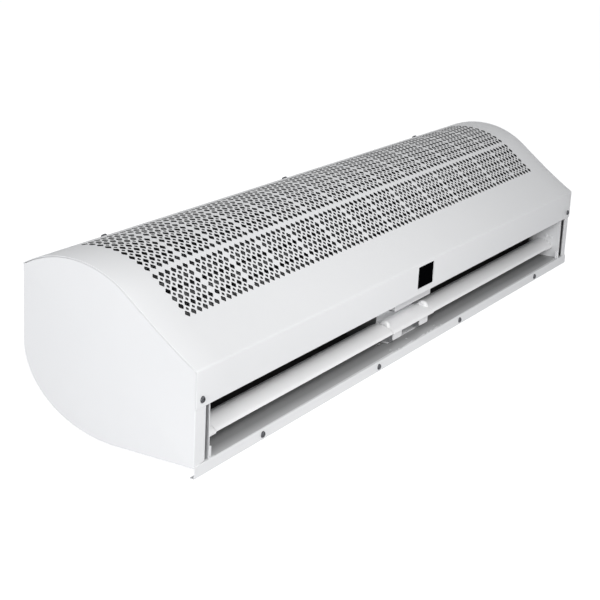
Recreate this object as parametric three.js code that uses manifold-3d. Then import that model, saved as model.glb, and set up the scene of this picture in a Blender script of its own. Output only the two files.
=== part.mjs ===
// Wall-mounted air curtain, lying on its wall side as it is shown: +X runs along the unit,
// -Y is the outlet face, +Z points away from the wall. Millimetres, origin under the middle.
import * as THREE from 'three';
import { mergeVertices } from 'three/addons/utils/BufferGeometryUtils.js';
import Module from 'manifold-3d';

const wasm = await Module();
wasm.setup();

// ---------------------------------------------------------------- driving dimensions
// Section sizes are given as depth (back from the outlet face) and height (up from the wall plane).
const length = 1200;
const depth = 257;
const sheet = 1.2;              // cover, casing and other folded sheet
const plate = 1.5;              // end plates, side plates and bulkheads
const gap = 0.3;                // clearance between parts that sit against each other

const foldHeight = 134.2;       // crease between the apron and the crown of the cover
const apronHeight = 46.7;       // crease to the apron's lower edge, the top of the outlet
const crownRadius = 137.6;      // bend of the crown
const crownCentreDepth = 186.1;
const crownCentreHeight = 98.8;
const crownTangent = 38.5;      // degrees, slope where the crown's bend starts
const slopeKneeDepth = 36;      // control point of the hollow stretch above the crease

const plateBottom = 12.7;       // underside of the end plates
const scrollStart = 115;        // depth at which the flat floor turns into the scroll
const scrollTop = 120.8;        // height at which the scroll runs into the back wall
const scrollSteps = 12;

const stripLip = 7;             // return lip of the front strip
const endFlange = 17.5;         // front flange of an end plate, from the unit's end
const endRim = 12;              // rim folded round an end plate
const rearFlange = 16;          // flange that carries the cover's back edge

const blocks = 14;              // blocks of holes along the cover
const blockPitch = 77.35;
const holePitch = 12.6;         // pitch of the real holes along the unit
const holesAlong = 6;           // real holes across a block
const rowPitch = 12.2;
const firstRow = 73;            // first row, along the sheet from the crease
const bandPitch = 14.2;         // row pitch across the plain band
const rowGroups = [6, 9];       // real rows below and above the band
const cutColumns = 3;           // openings across a block, each standing for two holes
const cutRows = [2, 3];         // openings along each group of rows
const openShare = 0.76;         // a diamond's diagonal as a share of its cell

const windowWidth = 52;
const windowHeight = 33.5;
const windowDrop = 21.2;        // crease to the window's middle
const windowRound = 3.5;

const sidePlateInset = 31;      // outer face of a side plate, in from the unit's end
const bayHalfWidth = 59;        // motor bay, to the outer face of a bulkhead
const frontPlateDepth = 18;     // upper part of the bay's front plate
const frontPlateSet = 47;       // lower part of the bay's front plate
const frontPlateStep = 67;      // height of the step between the two
const frontPlateRise = 3.8;     // how far the front plate passes the crease

const axisDepth = 188;          // fan axis
const axisHeight = 122;
const wheelRadius = 60;
const wheelRing = 11;           // radial width of the blading
const wheelGap = 9;             // wheel end to bulkhead or side plate
const discThickness = 2.4;
const bladeCount = 16;
const bladeThickness = 1.6;
const bladeRake = 32;           // degrees

const hubRadius = 15;
const hubReach = 20;            // how far a hub reaches into its wheel
const shaftRadius = 6;
const stubReach = 17;           // how far a stub shaft passes its side plate
const motorRadius = 48;
const motorLength = 78;
const motorBoss = 22;           // radius of the resilient mounting rings' seats
const motorBossLength = 12;

const vanePivotDepth = 34;
const vanePivotHeight = 40;
const vanePin = 3;
const vaneChord = 44.5;
const vaneCapLength = 31;
const earRadius = 13;
const earThickness = 8;
const noseLip = 5;              // the middle bracket's nose turned down in front
const bracketTabWidth = 28;     // tabs hanging from the nose, over the foot of the front plate
const bracketTabSet = 19;
const bracketTabBottom = 22;

const innerBracketX = 137;      // inner wall brackets, each side of the middle
const outerBracketInset = 150;  // outer wall brackets, in from the unit's end
const wallBracketWidth = 34;
const wallBracketFront = 8;
const wallBracketRear = 214;
const wallBracketSteel = 2;
const wallScrewRadius = 2.6;
const screwHeight = 8;          // strip screws, above the wall plane

const bearingWidth = 12;
const bushRadius = 11;
const bearingScrewSpan = 26;    // bearing screws, from the axis
const stubClear = 13;           // hole for the stub shaft in a side plate
const hubClear = 18;            // hole for the hub in a bulkhead
const tongueTip = 6;            // tongue to wheel
const tongueFlange = 12;        // tongue's front flange, behind the apron
const tongueCurl = 50;          // length of its curled back edge
const tongueRise = 40;          // height of that edge over the outlet's top
const bayFoot = 20;             // foot of the bay's front plate
const footTabWidth = 9;         // tab folded from a side plate's foot, for its floor screw
const footTabHeight = 13;
const footTabSet = 4;

const panelBorder = 3;          // black panel past the window's edge
const panelThickness = 2;
const capacitorRadius = 17;
const capacitorLength = 58;
const capacitorHeight = 92;
const clipWidth = 14;
const clipFoot = 61;
const terminalWays = 5;
const terminalPitch = 10;
const terminalDepth = 72;
const terminalHeight = 34;
const terminalTall = 20;
const grommetRadius = 9;
const grommetX = 30;
const grommetDrop = 36.7;       // below the top of the back wall

const endScrewInset = 12;
const endScrewRise = 9.5;       // above the apron's lower edge
const floorHoleRadius = 2;
const floorHoles = [            // x and depth of the holes in the floor behind the strip
  [-558, 7.4], [-82, 10], [-19.5, 15], [65, 9.6], [558, 7.4],
];
const drainSlotX = 71;          // drain slots beside the motor bay
const drainSlotDepth = 34;
const drainSlotLength = 11;
const drainSlotWidth = 3;
const roundSides = 16;          // facets round a turned part
const boreSides = 8;            // facets round a screw and its hole
const pinSides = 12;
const wheelSides = 28;

const screwHead = 4.3;
const screwHeadHeight = 2.6;
const screwShank = 1.9;
const screwLength = 9.5;

// ---------------------------------------------------------------- derived sizes
const halfLength = length / 2;
const apronBottom = foldHeight - apronHeight;
const windowCentre = foldHeight - windowDrop;
const frontPlateTop = foldHeight + frontPlateRise;
const endScrewHeight = apronBottom + endScrewRise;
const wallBracketX = [innerBracketX, halfLength - outerBracketInset];
const middleDepth = (depth - gap - screwHeadHeight) / 2;
const casingSkin = plate + gap;                 // end-plate outline to the casing's outer face
const casingInside = casingSkin + sheet;
const wallOuter = depth - casingSkin;           // outer face of the casing's back wall
const floorUnder = plateBottom + casingSkin;
const floorTop = floorUnder + sheet;
const coverInside = sheet + gap;                // cover's outer face to what it lies on
const sidePlateX = halfLength - sidePlateInset;
const wheelStart = bayHalfWidth + wheelGap;
const wheelEnd = sidePlateX - plate - wheelGap;

// ---------------------------------------------------------------- materials
function paint(color, roughness, metalness = 0) {
  return new THREE.MeshStandardMaterial({ color, roughness, metalness });
}
const whitePaint = paint(0xe9eaeb, 0.42);
const galvanised = paint(0xa9adb0, 0.45, 0.85);
const blackPlastic = paint(0x0b0b0c, 0.35);
const whitePlastic = paint(0xf1f1ef, 0.4);
const blackRubber = paint(0x1b1b1b, 0.85);
const screwSteel = paint(0x55585c, 0.35, 0.9);
const motorPaint = paint(0x2c2f33, 0.5, 0.3);
const brightSteel = paint(0xc9ccd0, 0.25, 0.95);
const aluminium = paint(0xd5d7d9, 0.4, 0.8);

// ---------------------------------------------------------------- solids and booleans
function toSolid(geometry) {
  const bare = geometry.clone();
  for (const name of ['normal', 'uv']) bare.deleteAttribute(name);
  const merged = mergeVertices(bare, 1e-4);
  return new wasm.Manifold(new wasm.Mesh({
    numProp: 3,
    vertProperties: Float32Array.from(merged.attributes.position.array),
    triVerts: Uint32Array.from(merged.index.array),
  }));
}

function toGeometry(solid) {
  const mesh = solid.getMesh();
  const geometry = new THREE.BufferGeometry();
  geometry.setAttribute('position', new THREE.BufferAttribute(mesh.vertProperties, mesh.numProp));
  geometry.setIndex(new THREE.BufferAttribute(mesh.triVerts, 1));
  geometry.computeVertexNormals();
  return geometry;
}

const join = (...solids) => solids.reduce((a, b) => a.add(b));
const cut = (solid, ...tools) => tools.reduce((a, b) => a.subtract(b), solid);

// ---------------------------------------------------------------- section lines, as [depth, height]
const point = (d, h) => new THREE.Vector2(d, h);

// Moves an open line sideways, to the left of its direction, with mitred corners.
function shift(line, distance) {
  const normals = line.slice(1).map((b, i) => {
    const along = b.clone().sub(line[i]).normalize();
    return point(-along.y, along.x);
  });
  return line.map((p, i) => {
    const before = normals[Math.max(i - 1, 0)];
    const after = normals[Math.min(i, normals.length - 1)];
    const mitre = before.clone().add(after).normalize();
    return p.clone().addScaledVector(mitre, distance / mitre.dot(before));
  });
}

// A sheet's cross-section: the line and the same line one thickness to its left.
function thicken(line, thickness) {
  return [...line, ...shift(line, thickness).reverse()];
}

// The part of a line that lies behind a depth, with its new end on the line.
function behind(line, d) {
  const kept = [];
  line.forEach((p, i) => {
    const next = line[i + 1];
    if (p.x >= d) kept.push(p);
    if (next && (p.x - d) * (next.x - d) < 0) {
      kept.push(p.clone().lerp(next, (d - p.x) / (next.x - p.x)));
    }
  });
  return kept;
}

// Crown of the cover: a hollow stretch from the crease, then one bend to the back edge.
const tangentAngle = THREE.MathUtils.degToRad(crownTangent);
const crownStart = point(
  crownCentreDepth - crownRadius * Math.sin(tangentAngle),
  crownCentreHeight + crownRadius * Math.cos(tangentAngle),
);
const kneeHeight = crownStart.y - (crownStart.x - slopeKneeDepth) * Math.tan(tangentAngle);
const rearAngle = Math.acos((depth - crownCentreDepth) / crownRadius);
const crown = new THREE.CurvePath();
crown.add(new THREE.QuadraticBezierCurve(
  point(0, foldHeight), point(slopeKneeDepth, kneeHeight), crownStart,
));
crown.add(new THREE.EllipseCurve(
  crownCentreDepth, crownCentreHeight, crownRadius, crownRadius,
  Math.PI / 2 + tangentAngle, rearAngle, true,
));
const crownLength = crown.getLength();
const onCrown = (s) => crown.getPointAt(Math.min(s / crownLength, 1));

// Rows of openings along the crown, each with its limits and the middle of its opening.
function cells(count, pitch, first, openings) {
  const step = (count * pitch) / openings;
  return Array.from({ length: openings }, (_, i) => {
    const low = first - pitch / 2 + i * step;
    return { low, high: low + step, middle: low + step / 2 };
  });
}
const secondGroup = firstRow + (rowGroups[0] - 1) * rowPitch + bandPitch;
const rows = [
  ...cells(rowGroups[0], rowPitch, firstRow, cutRows[0]),
  ...cells(rowGroups[1], rowPitch, secondGroup, cutRows[1]),
];
const columns = Array.from({ length: blocks }, (_, i) => {
  const blockMiddle = (i - (blocks - 1) / 2) * blockPitch;
  const first = blockMiddle - ((holesAlong - 1) / 2) * holePitch;
  return cells(holesAlong, holePitch, first, cutColumns);
}).flat();

// Neighbouring cells meet halfway across the plain band between them.
function closeUp(list) {
  list.slice(1).forEach((next, i) => {
    const meet = (list[i].high + next.low) / 2;
    list[i].high = meet;
    next.low = meet;
  });
}
closeUp(rows);
closeUp(columns);

// Stations of the cover's section, by their distance from the crease (below it on the apron).
const patternStart = rows[0].low;
const patternEnd = rows.at(-1).high;
const stations = [
  -apronHeight, 0, patternStart * 0.3, patternStart * 0.62,
  ...rows.map((row) => row.low), patternEnd,
  (patternEnd + crownLength) / 2, crownLength,
];
const coverLine = stations.map((s) => (s < 0 ? point(0, foldHeight + s) : onCrown(s)));
const coverSeat = shift(coverLine, -coverInside);

// End-plate outline along the floor, round the scroll and up the back wall.
const scroll = new THREE.EllipseCurve(
  scrollStart, scrollTop, depth - scrollStart, scrollTop - plateBottom, -Math.PI / 2, 0, false,
);
const rearSeat = coverSeat.at(-1);
const wallLine = [
  point(coverInside, plateBottom),
  ...scroll.getPoints(scrollSteps),
  point(depth, rearSeat.y),
];
const casingLine = shift(wallLine, casingSkin);
const casingInner = shift(wallLine, casingInside + gap);

// ---------------------------------------------------------------- shaping tools
const alongUnit = new THREE.Matrix4().makeBasis(
  new THREE.Vector3(0, 1, 0), new THREE.Vector3(0, 0, 1), new THREE.Vector3(1, 0, 0),
);

// A section run along the unit from one x to another.
function run(outline, from, to, curveSegments = 12) {
  const shape = outline instanceof THREE.Shape ? outline : new THREE.Shape(outline);
  const options = { depth: to - from, bevelEnabled: false, curveSegments };
  const geometry = new THREE.ExtrudeGeometry(shape, options);
  return toSolid(geometry.applyMatrix4(alongUnit).translate(from, 0, 0));
}

function slab(x0, x1, d0, d1, h0, h1) {
  return run([point(d0, h0), point(d1, h0), point(d1, h1), point(d0, h1)], x0, x1);
}

function circle(d, h, radius, segments = roundSides) {
  return Array.from({ length: segments }, (_, i) => {
    const a = ((i + 0.5) / segments) * 2 * Math.PI;
    return point(d + radius * Math.cos(a), h + radius * Math.sin(a));
  });
}

// A round bar along the unit.
const bar = (d, h, radius, from, to, segments) => run(circle(d, h, radius, segments), from, to);

// A round bar along the depth, for holes in the front and back walls.
function crossBar(x, h, radius, from, to, segments = boreSides) {
  const geometry = new THREE.CylinderGeometry(radius, radius, to - from, segments);
  return toSolid(geometry.translate(x, (from + to) / 2, h));
}

// A round bar up from the wall plane.
function upright(x, d, radius, from, to, segments = boreSides) {
  const geometry = new THREE.CylinderGeometry(radius, radius, to - from, segments);
  return toSolid(geometry.rotateX(Math.PI / 2).translate(x, d, (from + to) / 2));
}

const mirrored = (solid) => solid.mirror([1, 0, 0]);

// ---------------------------------------------------------------- assembly
const curtain = new THREE.Group();
curtain.position.y = -middleDepth;

function add(name, solid, material, parent = curtain) {
  const mesh = new THREE.Mesh(toGeometry(solid), material);
  mesh.name = name;
  parent.add(mesh);
  return mesh;
}

function addPair(name, solid, material, parent = curtain) {
  add(`right_${name}`, solid, material, parent);
  add(`left_${name}`, mirrored(solid), material, parent);
}

// ---------------------------------------------------------------- front cover
// Flat pattern of the cover: a point is its x and its station along the section.
function coverPattern() {
  const points = [];
  const triangles = [];
  const known = new Map();
  const at = (x, s) => {
    const key = `${x.toFixed(3)} ${s.toFixed(3)}`;
    if (!known.has(key)) known.set(key, points.push([x, s]) - 1);
    return known.get(key);
  };
  const face = (...corners) => {
    for (let i = 2; i < corners.length; i += 1) triangles.push([corners[0], corners[i - 1], corners[i]]);
  };
  const edges = [columns[0].low, ...columns.map((column) => column.high)];
  const ends = [-halfLength, halfLength];

  stations.slice(1).forEach((high, i) => {
    const low = stations[i];
    const holed = low >= patternStart && high <= patternEnd;
    if (!holed) {
      const fine = (s) => (s === patternStart || s === patternEnd ? edges : []);
      const bottom = [ends[0], ...fine(low), ends[1]].map((x) => at(x, low));
      const top = [ends[0], ...fine(high), ends[1]].map((x) => at(x, high));
      if (bottom.length === 2) face(bottom[0], bottom[1], ...top.reverse());
      else face(top[0], ...bottom, top[1]);
      return;
    }
    face(at(ends[0], low), at(edges[0], low), at(edges[0], high), at(ends[0], high));
    face(at(edges.at(-1), low), at(ends[1], low), at(ends[1], high), at(edges.at(-1), high));
    const row = rows.find((r) => r.low === low);
    for (const column of columns) {
      const corners = [
        at(column.low, low), at(column.high, low), at(column.high, high), at(column.low, high),
      ];
      const halfWide = (openShare * holePitch * holesAlong) / cutColumns / 2;
      const halfHigh = openShare * Math.min(row.middle - row.low, row.high - row.middle);
      const diamond = [
        at(column.middle, row.middle - halfHigh), at(column.middle + halfWide, row.middle),
        at(column.middle, row.middle + halfHigh), at(column.middle - halfWide, row.middle),
      ];
      corners.forEach((corner, k) => {
        const next = (k + 1) % corners.length;
        face(corner, corners[next], diamond[k]);
        face(corners[next], diamond[next], diamond[k]);
      });
    }
  });
  return { points, triangles };
}

// Bends the flat pattern onto the section and gives it its thickness.
function bentSheet({ points, triangles }, outer, thickness) {
  const inner = shift(outer, -thickness);
  const place = (line) => ([x, s]) => {
    const last = stations.length - 2;
    const i = Math.min(Math.max(stations.findIndex((station) => station > s) - 1, 0), last);
    const j = s >= stations.at(-1) ? last : i;
    const t = (s - stations[j]) / (stations[j + 1] - stations[j]);
    const p = line[j].clone().lerp(line[j + 1], t);
    return [x, p.x, p.y];
  };
  const positions = [...points.map(place(outer)), ...points.map(place(inner))].flat();
  const under = points.length;
  const index = [];
  const open = new Map();
  for (const [a, b, c] of triangles) {
    index.push(a, b, c, under + c, under + b, under + a);
    for (const [from, to] of [[a, b], [b, c], [c, a]]) {
      if (!open.delete(`${to} ${from}`)) open.set(`${from} ${to}`, [from, to]);
    }
  }
  for (const [a, b] of open.values()) {
    index.push(a, under + a, under + b, a, under + b, b);
  }
  const geometry = new THREE.BufferGeometry();
  geometry.setAttribute('position', new THREE.Float32BufferAttribute(positions, 3));
  geometry.setIndex(index);
  return toSolid(geometry);
}

function roundedWindow(width, height, round, centre, d0, d1) {
  const shape = new THREE.Shape();
  const w = width / 2 - round;
  const h = height / 2 - round;
  shape.absarc(w, centre + h, round, 0, Math.PI / 2);
  shape.absarc(-w, centre + h, round, Math.PI / 2, Math.PI);
  shape.absarc(-w, centre - h, round, Math.PI, 1.5 * Math.PI);
  shape.absarc(w, centre - h, round, 1.5 * Math.PI, 2 * Math.PI);
  const options = { depth: d1 - d0, bevelEnabled: false, curveSegments: 3 };
  const geometry = new THREE.ExtrudeGeometry(shape, options);
  return toSolid(geometry.rotateX(Math.PI / 2).translate(0, d1, 0));
}

const endScrewX = halfLength - endScrewInset;
const grommetHeight = coverLine.at(-1).y - grommetDrop;
const rearScrewXs = [-halfLength * 0.75, 0, halfLength * 0.75];
const rearSlope = coverLine.at(-1).clone().sub(coverLine.at(-2));
const rearTilt = Math.atan2(rearSlope.y, rearSlope.x);
const rearSeatPoint = coverLine.at(-1).clone()
  .addScaledVector(rearSlope.clone().normalize(), -rearFlange / 2);

// A hole square to the sloping back edge of the cover.
function rearHole(x, radius) {
  const reach = 6 * sheet;
  const geometry = new THREE.CylinderGeometry(radius, radius, reach, boreSides).rotateX(Math.PI / 2);
  return toSolid(geometry.rotateX(rearTilt).translate(x, rearSeatPoint.x, rearSeatPoint.y));
}

const holeRadius = screwShank + gap;
const endHoles = [-endScrewX, endScrewX]
  .map((x) => crossBar(x, endScrewHeight, holeRadius, -1, sheet + plate + 2));
const rearHoles = rearScrewXs.map((x) => rearHole(x, holeRadius));
const frontCover = cut(
  bentSheet(coverPattern(), coverLine, sheet),
  roundedWindow(windowWidth, windowHeight, windowRound, windowCentre, -1, sheet + 1),
  ...endHoles, ...rearHoles,
);
add('front_cover', frontCover, whitePaint);

// ---------------------------------------------------------------- end plates
const plateTop = behind(coverSeat.slice(1), coverInside);
const plateOutline = [...wallLine, ...plateTop.slice(0, -1).reverse()];
const endPlate = cut(
  join(
    run(plateOutline, halfLength - plate, halfLength),
    run(thicken(plateOutline, plate), halfLength - endRim, halfLength),
    slab(halfLength - endFlange, halfLength,
      coverInside, coverInside + plate, floorTop + gap, plateTop[0].y - 1),
  ),
  endHoles[1],
);
addPair('end_plate', endPlate, whitePaint);

// ---------------------------------------------------------------- back casing with the front strip
const casingHalf = halfLength - plate - gap;
const stripOutline = [
  point(0, 0), point(stripLip, 0), point(stripLip, sheet), point(sheet, sheet),
  point(sheet, floorTop), point(0, floorTop),
];
const skinLine = [point(sheet / 2, floorUnder), ...casingLine.slice(1)];
const flangeSeat = shift(coverLine.slice(-2), -coverInside);
const flangeStart = flangeSeat[1].clone().lerp(flangeSeat[0],
  (flangeSeat[1].x - wallOuter) / (flangeSeat[1].x - flangeSeat[0].x));
const flangeEnd = flangeSeat[1].clone().lerp(flangeSeat[0],
  rearFlange / flangeSeat[1].distanceTo(flangeSeat[0]));
const skinTop = casingLine.at(-1);
skinTop.y = flangeStart.y;
const stripHoles = [-1, 1].flatMap((side) => wallBracketX
  .map((x) => crossBar(side * x, screwHeight, holeRadius, -1, sheet + 1)));
const floorCuts = floorHoles.map(([x, d]) => upright(x, d, floorHoleRadius, 0, floorTop + 1));
for (const side of [-1, 1]) {
  floorCuts.push(slab(side * drainSlotX - drainSlotLength / 2, side * drainSlotX + drainSlotLength / 2,
    drainSlotDepth, drainSlotDepth + drainSlotWidth, 0, floorTop + 1));
}
const cornerRelief = slab(halfLength - endRim - gap, halfLength + 1,
  depth - 3 * casingInside, depth + 1, skinTop.y - 3 * casingInside, skinTop.y + sheet);
const backCasing = cut(
  join(
    run(stripOutline, -halfLength, halfLength),
    run(thicken(skinLine, sheet), -casingHalf, casingHalf),
    run(thicken([flangeStart, flangeEnd], sheet),
      -(halfLength - endRim - 2), halfLength - endRim - 2),
  ),
  ...stripHoles, ...rearHoles, ...floorCuts, cornerRelief, mirrored(cornerRelief),
  crossBar(grommetX, grommetHeight, grommetRadius, depth - 8, depth + 2, roundSides),
);
add('back_casing', backCasing, whitePaint);

// ---------------------------------------------------------------- side plates and motor bulkheads
// A wall across the inside of the casing, with its front edge at a given depth.
function crossWall(front, x0, x1) {
  const floor = behind(casingInner.slice(0, -1), front);
  const roof = behind(shift(coverLine, -(coverInside + sheet + gap)).slice(1), front);
  const back = point(casingInner.at(-2).x, casingInner.at(-1).y - rearFlange * 0.4);
  const below = roof.filter((p) => p.x < back.x - rearFlange);
  return run([...floor, back, ...below.reverse()], x0, x1);
}

const bearingHoles = [-bearingScrewSpan, bearingScrewSpan]
  .map((d) => bar(axisDepth + d, axisHeight, holeRadius, sidePlateX - 5, halfLength, boreSides));
const footTab = slab(sidePlateX - footTabWidth, sidePlateX, footTabSet, footTabSet + plate,
  floorTop + gap, floorTop + gap + footTabHeight);
const sidePlate = cut(
  join(crossWall(coverInside + gap, sidePlateX - plate, sidePlateX), footTab),
  bar(axisDepth, axisHeight, stubClear, 0, halfLength), ...bearingHoles,
  bar(vanePivotDepth, vanePivotHeight, vanePin + gap, 0, halfLength, pinSides),
);
addPair('side_plate', sidePlate, whitePaint);

const bulkheadFront = frontPlateSet + sheet + gap;
const bulkhead = cut(
  crossWall(bulkheadFront, bayHalfWidth - plate, bayHalfWidth),
  bar(axisDepth, axisHeight, hubClear, 0, halfLength),
);
addPair('motor_bulkhead', bulkhead, galvanised);

// ---------------------------------------------------------------- motor bay's front plate
const frontPlateLine = [
  point(frontPlateDepth, frontPlateTop), point(frontPlateDepth, frontPlateStep),
  point(frontPlateSet, frontPlateStep), point(frontPlateSet, floorTop + gap),
];
const frontPlate = join(
  run(thicken(frontPlateLine, sheet), -bayHalfWidth, bayHalfWidth),
  slab(-bayHalfWidth, bayHalfWidth,
    frontPlateSet - bayFoot, frontPlateSet + sheet, floorTop + gap, floorTop + gap + sheet),
  ...[-bayHalfWidth, bayHalfWidth - sheet].map((x) => slab(x, x + sheet,
    frontPlateDepth, frontPlateSet + sheet, frontPlateStep, frontPlateTop)),
);
add('bay_front_plate', frontPlate, whitePaint);

// ---------------------------------------------------------------- tongues between intake and outlet
const tongueBack = axisDepth - wheelRadius - tongueTip;
const tongueBottom = apronBottom + 2;
const tongueLine = [
  point(coverInside + gap, tongueBottom + tongueFlange), point(coverInside + gap, tongueBottom),
  point(tongueBack - tongueCurl, tongueBottom + 0.15 * tongueRise),
  point(tongueBack - 0.15 * tongueRise, tongueBottom + 0.4 * tongueRise),
  point(tongueBack - 1, tongueBottom + 0.55 * tongueRise),
  point(tongueBack - 1, tongueBottom + 0.8 * tongueRise),
  point(tongueBack - 0.225 * tongueRise, tongueBottom + tongueRise),
];
const tongue = run(thicken(tongueLine, sheet), bayHalfWidth + gap, sidePlateX - plate - gap);
addPair('tongue', tongue, galvanised);

// ---------------------------------------------------------------- outlet vanes
// Blade section about the pivot, in shares of its chord: a crowned top from the tail to the
// nose, hollowed below.
const ofChord = (d, h) => point(d * vaneChord, h * vaneChord);
const bladeTop = new THREE.SplineCurve([
  ofChord(0.47, -0.004), ofChord(0.27, 0.108), ofChord(0.067, 0.148),
  ofChord(-0.18, 0.103), ofChord(-0.38, 0.004), ofChord(-0.46, -0.08),
]);
const bladeUnder = new THREE.SplineCurve([
  ofChord(-0.427, -0.105), ofChord(-0.18, -0.096), ofChord(0, -0.105),
  ofChord(0.2, 0.01), ofChord(0.47, -0.03),
]);
const bladeOutline = [...bladeTop.getPoints(9), ...bladeUnder.getPoints(7)];
const vaneEnd = sidePlateX - plate - 1;
const vaneStart = bayHalfWidth + gap + earThickness + gap;
const bladeEnd = vaneEnd - vaneCapLength;
const pinReach = 14;
const aboutPivot = (solid) => solid.translate([0, vanePivotDepth, vanePivotHeight]);
const pinBore = (from, to) => bar(0, 0, vanePin + gap, from, to, pinSides);

const blade = cut(
  run(bladeOutline, vaneStart, bladeEnd - gap),
  pinBore(vaneStart - 1, vaneStart + pinReach), pinBore(bladeEnd - pinReach, bladeEnd + 1),
);
addPair('outlet_vane', aboutPivot(blade), whitePaint);

// End cap: the same nose, drawn lower, with the outer pivot through it.
const capOutline = [
  ...bladeTop.getPoints(9), ofChord(-0.455, -0.135), ofChord(-0.38, -0.15), ofChord(-0.28, -0.105),
  ...bladeUnder.getPoints(7).slice(3),
];
const cap = cut(run(capOutline, bladeEnd, vaneEnd), pinBore(bladeEnd - 1, vaneEnd + 1));
addPair('vane_cap', aboutPivot(cap), whitePlastic);

const pinOut = 8;
const outerPin = bar(0, 0, vanePin, bladeEnd - pinReach + 1, sidePlateX + pinOut, pinSides);
addPair('outer_pivot_pin', aboutPivot(outerPin), brightSteel);
const innerPin = bar(0, 0, vanePin, bayHalfWidth + gap + 1, vaneStart + pinReach - 1, pinSides);
addPair('inner_pivot_pin', aboutPivot(innerPin), brightSteel);

// Middle bracket: the vanes' nose carried on across the motor bay, with an ear at each end for
// the vanes and a tab hanging down beside it.
const noseTop = bladeTop.getPoints(9).slice(2)
  .map((p) => point(vanePivotDepth + p.x, vanePivotHeight + p.y));
const noseEdge = noseTop.at(-1);
const noseLine = [
  point(frontPlateSet - gap, noseTop[0].y), ...noseTop.filter((p) => p.x < frontPlateSet - 2),
  point(noseEdge.x, noseEdge.y - 1), point(noseEdge.x + noseLip, noseEdge.y - 2),
];
const ear = cut(
  run(circle(0, 0, earRadius), bayHalfWidth, bayHalfWidth + gap + earThickness),
  pinBore(bayHalfWidth + gap, vaneStart + 1),
);
const earTie = slab(bayHalfWidth - 8, bayHalfWidth + gap,
  vanePivotDepth - 6, vanePivotDepth + 6, vanePivotHeight - 2, vanePivotHeight + 5.7);
const bracketTab = slab(bayHalfWidth - 1 - bracketTabWidth, bayHalfWidth - 1,
  bracketTabSet, bracketTabSet + plate, bracketTabBottom, vanePivotHeight + 0.9);
const placedEar = join(aboutPivot(ear), earTie, bracketTab);
const nose = run(thicken(noseLine, sheet), -bayHalfWidth, bayHalfWidth);
add('middle_bracket', join(nose, placedEar, mirrored(placedEar)), whitePlastic);

// ---------------------------------------------------------------- fan rotor, about its own axis
const rotor = new THREE.Group();
rotor.position.set(0, axisDepth, axisHeight);
curtain.add(rotor);

function wheel() {
  const rake = THREE.MathUtils.degToRad(bladeRake);
  const innerRadius = wheelRadius - wheelRing;
  const hollow = innerRadius + wheelRing * 0.5;
  const foot = point(innerRadius, 0);
  const tip = point(wheelRadius * Math.cos(rake / 2) - 1, wheelRadius * Math.sin(rake / 2));
  const belly = point(hollow, wheelRing * 0.12);
  const bladeBar = run(thicken([foot, belly, tip], bladeThickness),
    wheelStart + discThickness / 2, wheelEnd - discThickness / 2);
  const middle = (wheelStart + wheelEnd) / 2;
  const discs = [wheelStart, middle - discThickness / 2, wheelEnd - discThickness]
    .map((x) => bar(0, 0, wheelRadius + 0.5, x, x + discThickness, wheelSides));
  const fan = Array.from({ length: bladeCount }, (_, i) => bladeBar.rotate([(360 * i) / bladeCount, 0, 0]));
  const centreHole = bar(0, 0, innerRadius - 3, middle - 5, middle + 5);
  const hubSeat = bar(0, 0, hubRadius + gap, wheelStart - 1, wheelStart + discThickness + 1);
  const stubSeat = bar(0, 0, shaftRadius + gap, wheelEnd - discThickness - 1, wheelEnd + 1);
  return cut(join(...discs, ...fan), centreHole, hubSeat, stubSeat);
}
addPair('fan_wheel', wheel(), aluminium, rotor);

// Rubber hub that drives the wheel from the motor shaft.
const hub = cut(
  join(
    bar(0, 0, hubRadius, wheelStart - 3, wheelStart + hubReach),
    bar(0, 0, hubRadius + 5, wheelStart + discThickness + gap, wheelStart + discThickness + 6),
  ),
  bar(0, 0, shaftRadius + gap, 0, halfLength),
);
addPair('drive_hub', hub, blackRubber, rotor);

const shaftHalf = wheelStart + hubReach - 2;
add('motor_shaft', bar(0, 0, shaftRadius, -shaftHalf, shaftHalf), brightSteel, rotor);

// Stub shaft at the wheel's outer end, with its flange against the end disc.
const stub = join(
  bar(0, 0, shaftRadius, wheelEnd - discThickness - 6, sidePlateX + stubReach),
  bar(0, 0, 14, wheelEnd + gap, wheelEnd + gap + 2),
);
addPair('stub_shaft', stub, brightSteel, rotor);

// ---------------------------------------------------------------- outer bearings
const bearingFace = sidePlateX + gap;
const bushFace = bearingFace + plate + gap;
const bearingBush = cut(
  bar(axisDepth, axisHeight, bushRadius, bushFace, bushFace + bearingWidth),
  bar(axisDepth, axisHeight, shaftRadius + gap, 0, halfLength),
);
addPair('bearing_bush', bearingBush, blackRubber);

const bearingBracket = cut(
  join(
    slab(bearingFace, bearingFace + plate, axisDepth - bearingScrewSpan - 6,
      axisDepth + bearingScrewSpan + 6, axisHeight - 18, axisHeight + 18),
    bar(axisDepth, axisHeight, bushRadius + gap + plate, bearingFace, bearingFace + bearingWidth),
  ),
  bar(axisDepth, axisHeight, bushRadius + gap, bearingFace + plate, halfLength),
  bar(axisDepth, axisHeight, stubClear - 4, 0, halfLength),
  ...bearingHoles,
);
addPair('bearing_bracket', bearingBracket, galvanised);

// ---------------------------------------------------------------- fan motor in its cradle
const motorProfile = [
  point(shaftRadius + gap, -motorLength / 2 - motorBossLength),
  point(motorBoss - 6, -motorLength / 2 - motorBossLength),
  point(motorBoss - 6, -motorLength / 2), point(motorRadius - 8, -motorLength / 2),
  point(motorRadius, -motorLength / 2 + 8), point(motorRadius, -motorLength * 0.2),
  point(motorRadius + 3, -motorLength * 0.18),
];
const motorLathe = [...motorProfile, ...motorProfile.map((p) => point(p.x, -p.y)).reverse()];
const motorGeometry = new THREE.LatheGeometry([...motorLathe, motorLathe[0]], roundSides)
  .rotateY(Math.PI / roundSides);
const motor = toSolid(motorGeometry.rotateZ(-Math.PI / 2))
  .translate([0, axisDepth, axisHeight]);
add('fan_motor', motor, motorPaint);

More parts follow.
